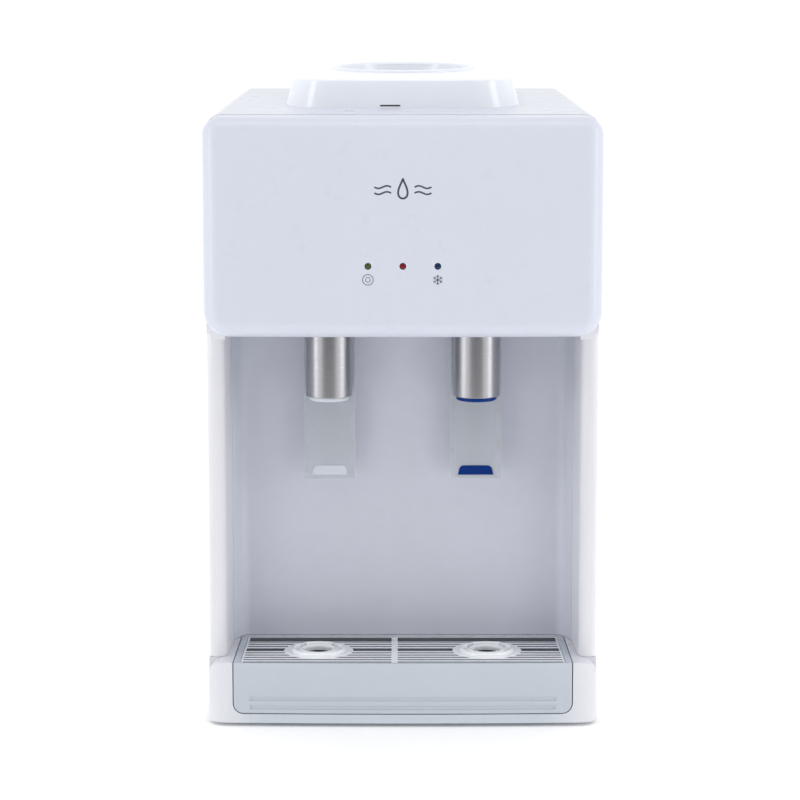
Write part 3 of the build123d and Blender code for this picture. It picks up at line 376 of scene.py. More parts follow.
@dataclass(frozen=True)
class Finish:
    """What every finish holds: its name and its colour."""

    name: str
    colour: Colour

    def bench(self) -> tuple[Bench, bpy.types.Node, bpy.types.Material]:
        """Start a material with its shader in place.

        Returns:
            The bench, the Principled shader and the material.
        """
        material = bpy.data.materials.new(self.name)
        material.use_nodes = True
        bench = Bench(material.node_tree)
        shader = next(n for n in material.node_tree.nodes if n.type == "BSDF_PRINCIPLED")
        shader.inputs["Base Color"].default_value = (*self.colour, 1)
        material.diffuse_color = (*self.colour, 1)
        return bench, shader, material

    def shade(self, share: float) -> Colour:
        """The finish's colour, darker or lighter by a share."""
        return tuple(min(1.0, channel * share) for channel in self.colour)

    def bump(self, bench: Bench, shader: bpy.types.Node, height: bpy.types.NodeSocket,
             depth: float) -> None:
        """Feed a height to the shader's normal.

        Args:
            bench: The material's bench.
            shader: Its Principled shader.
            height: Height from 0 to 1.
            depth: Height of 1, in metres.
        """
        bump = bench.add("ShaderNodeBump")
        bump.inputs["Strength"].default_value = 1.0
        bump.inputs["Distance"].default_value = depth
        bench.join(height, bump.inputs["Height"])
        bench.join(bump.outputs["Normal"], shader.inputs["Normal"])


@dataclass(frozen=True)
class Moulded(Finish):
    """Moulded plastic, from high gloss to a fine spark texture."""

    roughness: float = 0.3
    grain: float = 0.4
    ripple: float = 0.3
    depth: float = 0.00001
    coat: float = 0.0
    dust: float = 0.15
    wear: float = 0.3
    tone: float = 0.965
    specular: float = 0.5
    glow: float = 0.0

    def material(self) -> bpy.types.Material:
        """Build the material.

        Returns:
            The material.
        """
        bench, shader, material = self.bench()
        grain = Effects.place(bench, Effect.MOULD_GRAIN, grain=self.grain, ripple=self.ripple)
        wear = Effects.place(bench, Effect.EDGE_WEAR)
        dust = Effects.place(bench, Effect.SETTLED_DUST, amount=self.dust)
        base = bench.blend(grain.outputs["Tone"], self.shade(self.tone), self.colour)
        worn = bench.calc("MULTIPLY", wear.outputs["Mask"], self.wear)
        mask = bench.calc("ADD", worn, dust.outputs["Mask"], True)
        bench.join(bench.blend(mask, base, self.shade(WORN_SHADE)), shader.inputs["Base Color"])
        rough = bench.remap(grain.outputs["Gloss"], 0.1, 0.4, self.roughness * SMOOTH_SHARE,
                            self.roughness * ROUGH_SHARE)
        rough = bench.calc("ADD", rough, bench.calc("MULTIPLY", mask, WORN_ROUGHNESS), True)
        bench.join(rough, shader.inputs["Roughness"])
        shader.inputs["Coat Weight"].default_value = self.coat
        shader.inputs["Coat Roughness"].default_value = COAT_ROUGHNESS
        shader.inputs["Specular IOR Level"].default_value = self.specular
        shader.inputs["Emission Color"].default_value = (*self.colour, 1)
        shader.inputs["Emission Strength"].default_value = self.glow
        self.bump(bench, shader, grain.outputs["Height"], self.depth)
        return material


@dataclass(frozen=True)
class BrushedMetal(Finish):
    """Metal with fine lines from turning or rolling."""

    roughness: float = 0.3
    along: float = 20.0
    across: float = 3500.0
    depth: float = 0.000006

    def material(self) -> bpy.types.Material:
        """Build the material.

        Returns:
            The material.
        """
        bench, shader, material = self.bench()
        lines = Effects.place(bench, Effect.BRUSHING, along=self.along, across=self.across)
        wear = Effects.place(bench, Effect.EDGE_WEAR)
        mask = bench.calc("MAXIMUM", lines.outputs["Streak"], wear.outputs["Mask"], True)
        bench.join(bench.blend(mask, self.shade(0.9), self.shade(1.06)), shader.inputs["Base Color"])
        rough = bench.remap(lines.outputs["Streak"], 0.0, 1.0, self.roughness * ROUGH_SHARE,
                            self.roughness * SMOOTH_SHARE)
        bench.join(rough, shader.inputs["Roughness"])
        shader.inputs["Metallic"].default_value = 1.0
        self.bump(bench, shader, lines.outputs["Height"], self.depth)
        return material


@dataclass(frozen=True)
class Smoked(Finish):
    """Translucent tinted plastic: light passes, shapes behind stay soft."""

    roughness: float = 0.22
    transmission: float = 0.55
    ior: float = 1.49
    depth: float = 0.000012

    def material(self) -> bpy.types.Material:
        """Build the material.

        Returns:
            The material.
        """
        bench, shader, material = self.bench()
        grain = Effects.place(bench, Effect.MOULD_GRAIN, grain=0.3, ripple=0.5)
        wear = Effects.place(bench, Effect.EDGE_WEAR)
        tone = bench.calc("MULTIPLY", grain.outputs["Tone"], 0.5)
        mask = bench.calc("MAXIMUM", tone, wear.outputs["Mask"], True)
        bench.join(bench.blend(mask, self.shade(0.95), self.shade(1.15)), shader.inputs["Base Color"])
        shader.inputs["Transmission Weight"].default_value = self.transmission
        shader.inputs["Roughness"].default_value = self.roughness
        shader.inputs["IOR"].default_value = self.ior
        self.bump(bench, shader, grain.outputs["Height"], self.depth)
        return material


@dataclass(frozen=True)
class TwoTone(Moulded):
    """Moulded plastic whose front has a second tone in its middle."""

    middle: Colour = (0.5, 0.5, 0.5)
    start: float = 0.112
    end: float = 0.142
    front_end: float = -0.14
    front_fade: float = 0.01

    def material(self) -> bpy.types.Material:
        """Build the material.

        Returns:
            The material.
        """
        material = super().material()
        bench = Bench(material.node_tree)
        shader = next(n for n in material.node_tree.nodes if n.type == "BSDF_PRINCIPLED")
        link = shader.inputs["Base Color"].links[0]
        whole = link.from_socket
        split = bench.add("ShaderNodeSeparateXYZ")
        bench.join(bench.add("ShaderNodeTexCoord").outputs["Object"], split.inputs[0])
        side = bench.remap(bench.calc("ABSOLUTE", split.outputs["X"], 0.0), self.start, self.end)
        behind = bench.remap(split.outputs["Y"], self.front_end,
                             self.front_end + self.front_fade)
        side = bench.calc("MAXIMUM", side, behind)
        bench.join(bench.blend(side, self.middle, whole), shader.inputs["Base Color"])
        return material


class Finishes:
    """Every finish of the machine, each material made once."""

    book: dict[str, Finish] = {
        "white_plastic": Moulded("gloss_white_plastic", srgb(206, 210, 223), roughness=0.3, grain=0.15,
                                 coat=0.12, dust=0.1, tone=0.985),
        "base_plastic": TwoTone("base_white_plastic", srgb(217, 218, 224), roughness=0.28, grain=0.3,
                                dust=0.1, middle=srgb(194, 202, 211)),
        "frame_plastic": Moulded("column_white_plastic", srgb(222, 222, 227), roughness=0.3, grain=0.3,
                                 dust=0.1),
        "white_painted_steel": Moulded("white_powder_coat", srgb(220, 222, 229), roughness=0.38,
                                       grain=0.9, ripple=0.8, depth=0.00003, dust=0.12),
        "tap_white": Moulded("tap_white_plastic", srgb(206, 211, 219), roughness=0.2, grain=0.2,
                             coat=0.2, dust=0.0),
        "seat_plastic": Moulded("seat_white_plastic", srgb(238, 242, 249), roughness=0.14, grain=0.1,
                                coat=0.35, dust=0.05),
        "silver_plastic": Moulded("silver_grey_plastic", srgb(208, 211, 222), roughness=0.34, grain=0.8,
                                  ripple=0.2, depth=0.000014, dust=0.08),
        "grey_tray_plastic": Moulded("tray_grey_plastic", srgb(187, 194, 203), roughness=0.32, grain=0.5,
                                     dust=0.1),
        # Painted shade: the grille's slot walls get this dark grey to stand for the shade inside the
        # slots.
        "slot_shadow": Moulded("slot_wall_painted_shade", srgb(122, 126, 134), roughness=0.6, grain=0.5, dust=0.0,
                               wear=0.0, specular=0.2),
        # Painted shade: the basin under the grille gets this dark grey for the shade there; the tray
        # itself is one grey.
        "basin_shade_paint": Moulded("basin_painted_shade", srgb(84, 88, 94), roughness=0.6, grain=0.5, dust=0.2),
        "grille_plastic": Moulded("grille_grey_plastic", srgb(238, 241, 246), roughness=0.28, grain=0.4,
                                  dust=0.1),
        "ring_plastic": Moulded("cup_ring_plastic", srgb(246, 249, 252), roughness=0.1, grain=0.1,
                                coat=0.5, dust=0.0),
        "satin_metal": BrushedMetal("satin_tap_metal", srgb(176, 176, 180), roughness=0.31,
                                    along=6.0, across=1500.0, depth=0.0000012),
        "blue_plastic": Moulded("cold_blue_plastic", srgb(0, 46, 122), roughness=0.3, grain=0.2,
                                specular=0.15, dust=0.0, tone=0.9),
        "smoke_plastic": Smoked("smoked_paddle_plastic", srgb(222, 226, 232)),
        "light_lens": Moulded("dark_lens", srgb(60, 24, 26), roughness=0.12, grain=0.1, dust=0.0),
        "black_plastic": Moulded("black_textured_plastic", srgb(34, 35, 37), roughness=0.48, grain=1.0,
                                 depth=0.00004, tone=0.8),
        "red_plastic": Moulded("red_rocker_plastic", srgb(176, 22, 22), roughness=0.25, grain=0.3),
        "rubber": Moulded("black_rubber", srgb(30, 30, 31), roughness=0.7, grain=1.0, depth=0.00005,
                          tone=0.7),
        "silicone": Moulded("milky_silicone", srgb(214, 216, 211), roughness=0.42, grain=0.3),
        "clear_white_plastic": Moulded("natural_polypropylene", srgb(226, 228, 226), roughness=0.3,
                                       grain=0.3),
        "galvanised_steel": BrushedMetal("galvanised_sheet", srgb(168, 173, 178), roughness=0.42,
                                         along=300.0, across=500.0, depth=0.00002),
        "stainless": BrushedMetal("stainless_steel", srgb(192, 192, 194), roughness=0.25),
        "foam": Moulded("expanded_foam", srgb(232, 232, 226), roughness=0.85, grain=1.0, ripple=1.0,
                        depth=0.0003, tone=0.88),
        "copper": BrushedMetal("dull_copper", srgb(196, 118, 82), roughness=0.35, along=200.0,
                               across=400.0),
        "black_painted_steel": Moulded("black_gloss_paint", srgb(22, 22, 24), roughness=0.3, grain=0.6,
                                       ripple=0.8, depth=0.00003, tone=0.75),
        "circuit_board": Moulded("green_board", srgb(28, 104, 52), roughness=0.4, grain=0.6, tone=0.8),
        "grey_metal": BrushedMetal("plated_metal", srgb(160, 161, 164), roughness=0.35),
        "print_ink": Moulded("charcoal_print", srgb(70, 74, 86), roughness=0.45, grain=0.6, dust=0.0,
                             wear=0.0, tone=0.85),
        "olive_lens": Moulded("olive_lens", srgb(72, 80, 40), roughness=0.1, grain=0.1, dust=0.0),
        "ruby_lens": Moulded("ruby_lens", srgb(120, 18, 34), roughness=0.1, grain=0.1, dust=0.0),
        "navy_lens": Moulded("navy_lens", srgb(18, 42, 84), roughness=0.1, grain=0.1, dust=0.0),
        "floor": Moulded("pale_floor", srgb(254, 254, 254), roughness=0.7, grain=0.2, dust=0.0, wear=0.0,
                         tone=0.995, glow=0.07),
    }
    made: dict[str, bpy.types.Material] = {}

    @classmethod
    def get(cls, name: str) -> bpy.types.Material:
        """The material of a finish, built at its first use."""
        if name not in cls.made:
            cls.made[name] = cls.book[name].material()
        return cls.made[name]


# ---- mesh making -------------------------------------------------------------------
def dress(piece: bpy.types.Object, finish: str) -> bpy.types.Object:
    """Give a piece one finish.

    Args:
        piece: The object.
        finish: Name in the book of finishes.

    Returns:
        The same object.
    """
    piece.data.materials.clear()
    piece.data.materials.append(Finishes.get(finish))
    return piece


def mesh_piece(name: str, verts: Sequence[Sequence[float]], faces: Sequence[Sequence[int]],
               sharp_degrees: float = 40.0) -> bpy.types.Object:
    """Make an object from points and faces, shaded smooth between its sharp edges.

    Args:
        name: The piece's name.
        verts: Points, in metres.
        faces: Corner numbers of each face.
        sharp_degrees: Edges that turn more than this stay sharp.

    Returns:
        The new object, linked to the scene.
    """
    mesh = bpy.data.meshes.new(name)
    mesh.from_pydata([tuple(v) for v in verts], [], [tuple(f) for f in faces])
    shape = bmesh.new()
    shape.from_mesh(mesh)
    bmesh.ops.remove_doubles(shape, verts=shape.verts, dist=1e-7)
    bmesh.ops.dissolve_degenerate(shape, edges=shape.edges, dist=1e-7)
    bmesh.ops.recalc_face_normals(shape, faces=shape.faces)
    limit = math.radians(sharp_degrees)
    for edge in shape.edges:
        edge.smooth = len(edge.link_faces) == 2 and edge.calc_face_angle(0.0) < limit
    for face in shape.faces:
        face.smooth = True
    shape.to_mesh(mesh)
    shape.free()
    piece = bpy.data.objects.new(name, mesh)
    bpy.context.scene.collection.objects.link(piece)
    return piece


def skin(name: str, loops: Sequence[Sequence[Sequence[float]]], capped: bool = True,
         ring: bool = False, sharp_degrees: float = 40.0) -> bpy.types.Object:
    """Join closed loops of equal length into one surface.

    Args:
        name: The piece's name.
        loops: Loops of points, in order.
        capped: Whether the first and last loops are closed with a face.
        ring: Whether the last loop joins the first.
        sharp_degrees: Edges that turn more than this stay sharp.

    Returns:
        The new object.
    """
    count = len(loops[0])
    verts = [point for loop in loops for point in loop]
    faces = []
    rows = len(loops) if ring else len(loops) - 1
    for row in range(rows):
        low, high = row * count, ((row + 1) % len(loops)) * count
        for step in range(count):
            after = (step + 1) % count
            faces.append((low + step, low + after, high + after, high + step))
    if capped and not ring:
        faces.append(tuple(reversed(range(count))))
        faces.append(tuple(range((len(loops) - 1) * count, len(loops) * count)))
    return mesh_piece(name, verts, faces, sharp_degrees)


def soft_square(half_u: float, half_v: float, radii: Sequence[float], arc_steps: int = 10,
                side_steps: int = 12) -> list[Point2]:
    """Outline of a rectangle with round corners, anticlockwise from the top of its right side.

    Args:
        half_u: Half its width.
        half_v: Half its height.
        radii: Radius of the upper right, upper left, lower left and lower right corner.
        arc_steps: Divisions of each corner.
        side_steps: Divisions of each side.

    Returns:
        The outline's points.
    """
    points: list[Point2] = []
    signs = ((1, 1), (-1, 1), (-1, -1), (1, -1))
    for index, ((sign_u, sign_v), radius) in enumerate(zip(signs, radii)):
        centre = (sign_u * (half_u - radius), sign_v * (half_v - radius))
        start = index * math.pi / 2
        arc = [(centre[0] + radius * math.cos(start + math.pi / 2 * k / arc_steps),
                centre[1] + radius * math.sin(start + math.pi / 2 * k / arc_steps))
               for k in range(arc_steps + 1)]
        points.extend(arc)
        next_u, next_v = signs[(index + 1) % 4]
        next_radius = radii[(index + 1) % 4]
        next_centre = (next_u * (half_u - next_radius), next_v * (half_v - next_radius))
        next_start = (index + 1) * math.pi / 2
        end = (next_centre[0] + next_radius * math.cos(next_start),
               next_centre[1] + next_radius * math.sin(next_start))
        for k in range(1, side_steps):
            share = k / side_steps
            points.append((arc[-1][0] + (end[0] - arc[-1][0]) * share,
                           arc[-1][1] + (end[1] - arc[-1][1]) * share))
    return points


def circle(x: float, z: float, radius: float, corners: int = 48, turn: float = 0.0) -> list[Point2]:
    """Points of a circle or regular polygon, seen from the front.

    Args:
        x: Its middle, across.
        z: Its middle, upwards.
        radius: Its radius.
        corners: How many points.
        turn: Angle of the first point.

    Returns:
        The points.
    """
    turns = (turn + 2 * math.pi * k / corners for k in range(corners))
    return [(x + radius * math.cos(a), z + radius * math.sin(a)) for a in turns]


def block(name: str, x: Span, y: Span, z: Span) -> bpy.types.Object:
    """Make a square block.

    Args:
        name: The piece's name.
        x: Its left and right sides.
        y: Its front and back.
        z: Its foot and top.

    Returns:
        The new object.
    """
    verts = [(u, v, w) for u in x for v in y for w in z]
    faces = [(0, 1, 3, 2), (4, 6, 7, 5), (0, 4, 5, 1), (2, 3, 7, 6), (0, 2, 6, 4), (1, 5, 7, 3)]
    return mesh_piece(name, verts, faces)


# ---- the machine's sub-assemblies --------------------------------------------------
class Side(Enum):
    """The two taps."""

    HOT = "hot"
    COLD = "cold"


@dataclass
class Dressing:
    """Finishes of CAD nodes that are shown as they are."""

    nodes: dict[str, str]

    def apply(self) -> list[bpy.types.Object]:
        """Give each node its finish.

        Returns:
            The dressed nodes.
        """
        return [dress(frame["nodes"][name], finish) for name, finish in self.nodes.items()]


SHELL = Dressing({
    "head_cover": "white_plastic",
    "top_cover": "white_plastic",
    "front_frame": "frame_plastic",
    "base": "base_plastic",
    "left_side_panel": "white_painted_steel",
    "right_side_panel": "white_painted_steel",
    "rear_panel": "white_painted_steel",
    "bottle_seat": "seat_plastic",
    "alcove_panel": "silver_plastic",
    "tap_shelf": "silver_plastic",
    "drip_tray": "grey_tray_plastic",
    "drip_grille": "grille_plastic",
    "cup_rings": "ring_plastic",
    "feet": "rubber",
    "cabinet_screws": "grey_metal",
    "wall_spacers": "black_plastic",
    "indicator_lights": "light_lens",
    "indicator_board": "circuit_board",
})
TAPS = Dressing({
    "tap_sleeves": "satin_metal",
    "hot_tap_nozzle": "tap_white",
    "cold_tap_nozzle": "blue_plastic",
    "hot_paddle": "smoke_plastic",
    "cold_paddle": "smoke_plastic",
    "hot_paddle_tab": "tap_white",
    "cold_paddle_tab": "blue_plastic",
    "tap_bracket": "galvanised_steel",
    "pivot_pins": "grey_metal",
    "valve_bodies": "clear_white_plastic",
    "hot_valve_plunger": "red_plastic",
    "cold_valve_plunger": "blue_plastic",
    "hot_valve_spring": "stainless",
    "cold_valve_spring": "stainless",
})
REAR = Dressing({
    "switch_housings": "black_plastic",
    "hot_switch_rocker": "red_plastic",
    "cold_switch_rocker": "clear_white_plastic",
    "drain_spout": "clear_white_plastic",
    "drain_cap": "rubber",
    "power_gland": "black_plastic",
    "terminal_block": "clear_white_plastic",
    "condenser_tube": "black_painted_steel",
    "condenser_wires": "black_painted_steel",
})
INSIDE = Dressing({
    "water_probe": "clear_white_plastic",
    "seat_seal": "silicone",
    "cold_tank": "stainless",
    "tank_baffle": "clear_white_plastic",
    "evaporator_coil": "copper",
    "tank_insulation": "foam",
    "cold_thermostat": "grey_metal",
    "hot_tank": "stainless",
    "heater_band": "stainless",
    "hot_tank_jacket": "foam",
    "tank_stand": "galvanised_steel",
    "thermal_cutout": "black_plastic",
    "compressor": "black_painted_steel",
    "compressor_grommets": "rubber",
    "filter_drier": "copper",
    "gas_pipes": "copper",
    "liquid_pipe": "copper",
    "capillary_tube": "copper",
    "water_hoses": "silicone",
})


@dataclass
class HeadFace:
    """The head's bowed front, as a place to print on."""

    front: float
    half: float = 155 * MM
    bow: float = 3.5 * MM
    skin_back: float = 0.1 * MM

    def depth_at(self, x: float) -> float:
        """Y of the visible front at a place across the head."""
        return self.front + self.skin_back + self.bow * (x / self.half) ** 2


@dataclass
class HeadCover:
    """Front cover of the head: a closed shell with soft edges and three light holes."""

    face: HeadFace
    rear: float
    low: float
    top: float
    wall: float = 3.0 * MM
    side_round: float = 14 * MM
    low_round: float = 20 * MM
    front_round: float = 12 * MM
    top_lap: float = 28 * MM
    hole_radius: float = 2.7 * MM
    light_height: float = 56.8 * MM
    light_x: tuple[float, ...] = (-27 * MM, 0.0, 27 * MM)
    arc_steps: int = 28
    side_steps: int = 40
    face_rings: int = 16
    edge_rings: int = 15
    hole_corners: int = 40
    drill_before: float = 2 * MM
    drill_behind: float = 8 * MM

    def outline(self, inset: float) -> list[Point2]:
        """Outline of the head seen from the front, inset from its edge.

        Args:
            inset: How far inside the edge.

        Returns:
            Points of width and height, about the head's middle.
        """
        upper = max(self.side_round - inset, 0.5 * MM)
        lower = max(self.low_round - inset, 0.5 * MM)
        return soft_square(self.face.half - inset, (self.top - self.low) / 2 - inset,
                           (upper, upper, lower, lower), self.arc_steps, self.side_steps)

    def loop(self, inset: float, behind: float, shrink: float = 1.0) -> list[Vector]:
        """One closed loop of the cover.

        Args:
            inset: How far inside the outline.
            behind: How far behind the bowed front.
            shrink: Scale of the loop about the face's middle.

        Returns:
            The loop's points.
        """
        middle = (self.top + self.low) / 2
        points = []
        for u, v in self.outline(inset):
            x, z = u * shrink, middle + v * shrink
            points.append(Vector((x, self.face.depth_at(x) + behind, z)))
        return points

    def rim(self, inset: float) -> list[Vector]:
        """The back edge, which stops short along the top for the top cover's lap.

        Args:
            inset: How far inside the outline.

        Returns:
            The loop's points.
        """
        middle = (self.top + self.low) / 2
        points = []
        for (u, v), (_, outer_v) in zip(self.outline(inset), self.outline(0)):
            under_lap = middle + outer_v > self.top - self.wall
            points.append(Vector((u, self.rear - (self.top_lap if under_lap else 0), middle + v)))
        return points

    def wall_loops(self, inset: float, behind: float) -> list[list[Vector]]:
        """Loops of one skin, from the middle of its face round the edge to its rim.

        Args:
            inset: How far this skin lies inside the outer one.
            behind: How far its face lies behind the outer face.

        Returns:
            The loops.
        """
        round_size = self.front_round - inset
        loops = [self.loop(inset + round_size, behind, share / self.face_rings)
                 for share in range(1, self.face_rings)]
        for step in range(self.edge_rings):
            angle = math.pi / 2 * (1 - step / (self.edge_rings - 1))
            loops.append(self.loop(inset + round_size * (1 - math.cos(angle)),
                                   behind + round_size * (1 - math.sin(angle))))
        loops.append(self.rim(inset))
        return loops

    def build(self) -> bpy.types.Object:
        """Build the cover and drill its light holes.

        Returns:
            The cover.
        """
        outer = self.wall_loops(0.0, 0.0)
        inner = self.wall_loops(self.wall, self.wall)
        cover = skin("head_front_cover", outer + inner[::-1], sharp_degrees=35)
        for x in self.light_x:
            self.drill(cover, x)
        dress(cover, "white_plastic")
        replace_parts(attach(cover, "cabinet"), "head_cover")
        return cover

    def drill(self, cover: bpy.types.Object, x: float) -> None:
        """Cut one light hole through the cover's face.

        Args:
            cover: The cover.
            x: Where the hole is, across the head.
        """
        front = self.face.front
        ring = circle(x, self.low + self.light_height, self.hole_radius, self.hole_corners)
        drill = skin("drill", [[(u, front - self.drill_before, v) for u, v in ring],
                               [(u, front + self.drill_behind, v) for u, v in ring]])
        cut = cover.modifiers.new("hole", "BOOLEAN")
        cut.operation = "DIFFERENCE"
        cut.solver = "EXACT"
        cut.object = drill
        bpy.context.view_layer.update()
        graph = bpy.context.evaluated_depsgraph_get()
        shape = bpy.data.meshes.new_from_object(cover.evaluated_get(graph))
        cover.modifiers.clear()
        cover.data = shape
        bpy.data.objects.remove(drill)


@dataclass
class Lights:
    """Three small indicator lenses, each with its own dark tint."""

    cover: HeadCover
    finishes: tuple[str, str, str] = ("olive_lens", "ruby_lens", "navy_lens")
    recess: float = 0.5 * MM
    length: float = 6 * MM
    clearance: float = 0.12 * MM
    doming: float = 0.5
    dome_steps: int = 8
    corners: int = 32

    def build(self) -> list[bpy.types.Object]:
        """Build a domed lens with a stem in each hole.

        Returns:
            The lenses.
        """
        lenses = []
        radius = self.cover.hole_radius - self.clearance
        height = self.cover.low + self.cover.light_height
        for x, finish in zip(self.cover.light_x, self.finishes):
            front = self.cover.face.depth_at(x) + self.recess
            loops = []
            for step in range(1, self.dome_steps + 1):
                angle = math.pi / 2 * step / self.dome_steps
                depth = front + radius * self.doming * (1 - math.cos(angle))
                loops.append(self.ring(x, depth, height, radius * math.sin(angle)))
            loops.append(self.ring(x, front + self.length, height, radius))
            lens = skin(f"light_lens_{finish}", loops)
            dress(lens, finish)
            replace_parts(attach(lens, "cabinet"), "indicator_lights")
            lenses.append(lens)
        return lenses

    def ring(self, x: float, y: float, z: float, radius: float) -> list[Vector]:
        """Upright circle that faces the front."""
        return [Vector((u, y, v)) for u, v in circle(x, z, radius, self.corners)]


@dataclass
class Prints:
    """Thin printed marks on the head: two icons and a plain water mark."""

    face: HeadFace
    low: float
    icon_up: float = 46.3 * MM
    mark_up: float = 117 * MM
    thickness: float = 0.05 * MM
    icon_x: float = 27 * MM
    icon_ring: float = 4.1 * MM
    icon_line: float = 0.55 * MM
    sign_radius: float = 2.1 * MM
    arm: float = 4.0 * MM
    arm_line: float = 0.6 * MM
    fork_at: float = 2.2 * MM
    fork_length: float = 1.5 * MM
    fork_line: float = 0.5 * MM
    fork_lean: float = math.radians(52)
    drop_half_height: float = 7.6 * MM
    drop_reach: float = 5.2 * MM
    drop_line: float = 1.5 * MM
    drop_corners: int = 60
    wave_start: float = 9 * MM
    wave_length: float = 13 * MM
    wave_rise: float = 1.0 * MM
    wave_line: float = 1.3 * MM
    wave_levels: Span = (-3.4 * MM, 1.2 * MM)
    wave_steps: int = 24

    def stroke(self, path: Sequence[Point2], width: float, closed: bool) -> tuple[list, list]:
        """Ribbon of even width along a path.

        Args:
            path: Points across and up the face.
            width: The ribbon's width.
            closed: Whether the path joins itself.

        Returns:
            Its points and faces.
        """
        count = len(path)
        verts, faces = [], []
        for index, (x, z) in enumerate(path):
            before = path[(index - 1) % count] if closed or index else path[index]
            after = path[(index + 1) % count] if closed or index < count - 1 else path[index]
            run = Vector((after[0] - before[0], after[1] - before[1])).normalized()
            side = Vector((-run.y, run.x)) * width / 2
            for sign in (1, -1):
                u, v = x + sign * side.x, z + sign * side.y
                y = self.face.depth_at(u)
                verts.append((u, y - self.thickness, v))
                verts.append((u, y + self.thickness, v))
        steps = count if closed else count - 1
        for index in range(steps):
            a, b = 4 * index, 4 * ((index + 1) % count)
            faces += [(a, a + 2, b + 2, b), (a + 1, b + 1, b + 3, a + 3),
                      (a, b, b + 1, a + 1), (a + 2, a + 3, b + 3, b + 2)]
        if not closed:
            end = 4 * (count - 1)
            faces += [(0, 1, 3, 2), (end, end + 2, end + 3, end + 1)]
        return verts, faces

    def place(self, name: str,
              strokes: Iterable[tuple[Sequence[Point2], float, bool]]) -> bpy.types.Object:
        """Make one printed piece of several strokes.

        Args:
            name: The piece's name.
            strokes: Path, width and whether it is closed, of each stroke.

        Returns:
            The piece.
        """
        verts, faces = [], []
        for path, width, closed in strokes:
            more_verts, more_faces = self.stroke(path, width, closed)
            shift = len(verts)
            verts += more_verts
            faces += [tuple(corner + shift for corner in face) for face in more_faces]
        piece = dress(mesh_piece(name, verts, faces), "print_ink")
        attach(piece, "cabinet")
        return piece

    def sign_icon(self) -> bpy.types.Object:
        """Print the left icon, a ring round a small five-sided sign, and return it."""
        x, z = -self.icon_x, self.low + self.icon_up
        return self.place("print_left_icon", [
            (circle(x, z, self.icon_ring), self.icon_line, True),
            (circle(x, z, self.sign_radius, 5, -math.pi / 2), self.icon_line, True)])

    def snow_icon(self) -> bpy.types.Object:
        """Print the right icon, a six-armed snowflake.

        Returns:
            The printed piece.
        """
        x, z = self.icon_x, self.low + self.icon_up
        strokes = []
        for arm in range(6):
            turn = math.pi / 6 + arm * math.pi / 3
            out = Vector((math.cos(turn), math.sin(turn)))
            tip = (x + out.x * self.arm, z + out.y * self.arm)
            strokes.append(([(x, z), tip], self.arm_line, False))
            fork = Vector((x, z)) + out * self.fork_at
            for lean in (-1, 1):
                way = turn + lean * self.fork_lean
                end = (fork.x + math.cos(way) * self.fork_length,
                       fork.y + math.sin(way) * self.fork_length)
                strokes.append(([tuple(fork), end], self.fork_line, False))
        return self.place("print_right_icon", strokes)

    def water_mark(self) -> bpy.types.Object:
        """Print a plain water drop between two pairs of short waves.

        Returns:
            The printed piece.
        """
        middle = self.low + self.mark_up
        drop = []
        for k in range(self.drop_corners):
            angle = 2 * math.pi * k / self.drop_corners
            reach = self.drop_reach * math.sin(angle) * math.sin(angle / 2) ** 1.5
            drop.append((reach, middle + self.drop_half_height * math.cos(angle)))
        strokes = [(drop, self.drop_line, True)]
        for side in (-1, 1):
            for level in self.wave_levels:
                wave = []
                for k in range(self.wave_steps + 1):
                    share = k / self.wave_steps
                    rise = self.wave_rise * math.sin(share * 2 * math.pi)
                    wave.append((side * (self.wave_start + self.wave_length * share),
                                 middle + level + rise))
                strokes.append((wave, self.wave_line, False))
        return self.place("print_water_mark", strokes)

    def build(self) -> list[bpy.types.Object]:
        """Print all the marks and return them."""
        return [self.sign_icon(), self.snow_icon(), self.water_mark()]


@dataclass
class SeatSlotShade:
    """Painted shade of a small slot low in the bottle seat's front wall: a black block stands for the
    slot's dark inside.
    """

    left: float = -18 * MM
    right: float = -2 * MM
    height: float = 1.1 * MM
    above_foot: float = 1.0 * MM
    sunk: float = 0.1 * MM
    back: float = 1.2 * MM

    def build(self) -> bpy.types.Object:
        """Build the black block of painted shade, just behind the wall's foremost point.

        Returns:
            The lining.
        """
        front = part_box("bottle_seat")[0].y
        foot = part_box("top_cover")[1].z + self.above_foot
        # Painted shade: this black block stands for the shade inside the slot.
        piece = block("seat_slot_painted_shade", (self.left, self.right),
                      (front + self.sunk, front + self.back), (foot, foot + self.height))
        dress(piece, "black_plastic")
        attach(piece, "bottle_seat")
        return piece


def shade_faces(node: str, finish: str, chosen: Callable[[bpy.types.MeshPolygon], bool]
                ) -> bpy.types.Object:
    """Give some faces of a CAD node a second finish.

    Args:
        node: The node's name.
        finish: Finish of the chosen faces.
        chosen: Tells whether a face is chosen.

    Returns:
        The node.
    """
    piece = frame["nodes"][node]
    piece.data.materials.append(Finishes.get(finish))
    for face in piece.data.polygons:
        if chosen(face):
            face.material_index = 1
    return piece


@dataclass
class ValveSpring:
    """One tap's valve spring: a copy of the CAD node, carried whole by its valve."""

    side: Side
    travel: float = 4.0 * MM

    def build(self) -> bpy.types.Object:
        """Build the spring as a copy of the CAD node, carried whole by the tap's valve.

        Returns:
            The spring.
        """
        tap = self.side.value
        node = f"{tap}_valve_spring"
        spring = frame["nodes"][node].copy()
        spring.data = spring.data.copy()
        spring.name = f"{tap}_spring_coil"
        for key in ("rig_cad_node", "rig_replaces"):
            if key in spring:
                del spring[key]
        bpy.context.scene.collection.objects.link(spring)
        spring.parent = None
        spring.matrix_world.identity()
        dress(spring, "stainless")
        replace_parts(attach(spring, f"{tap}_valve"), node)
        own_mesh(spring)
        return spring


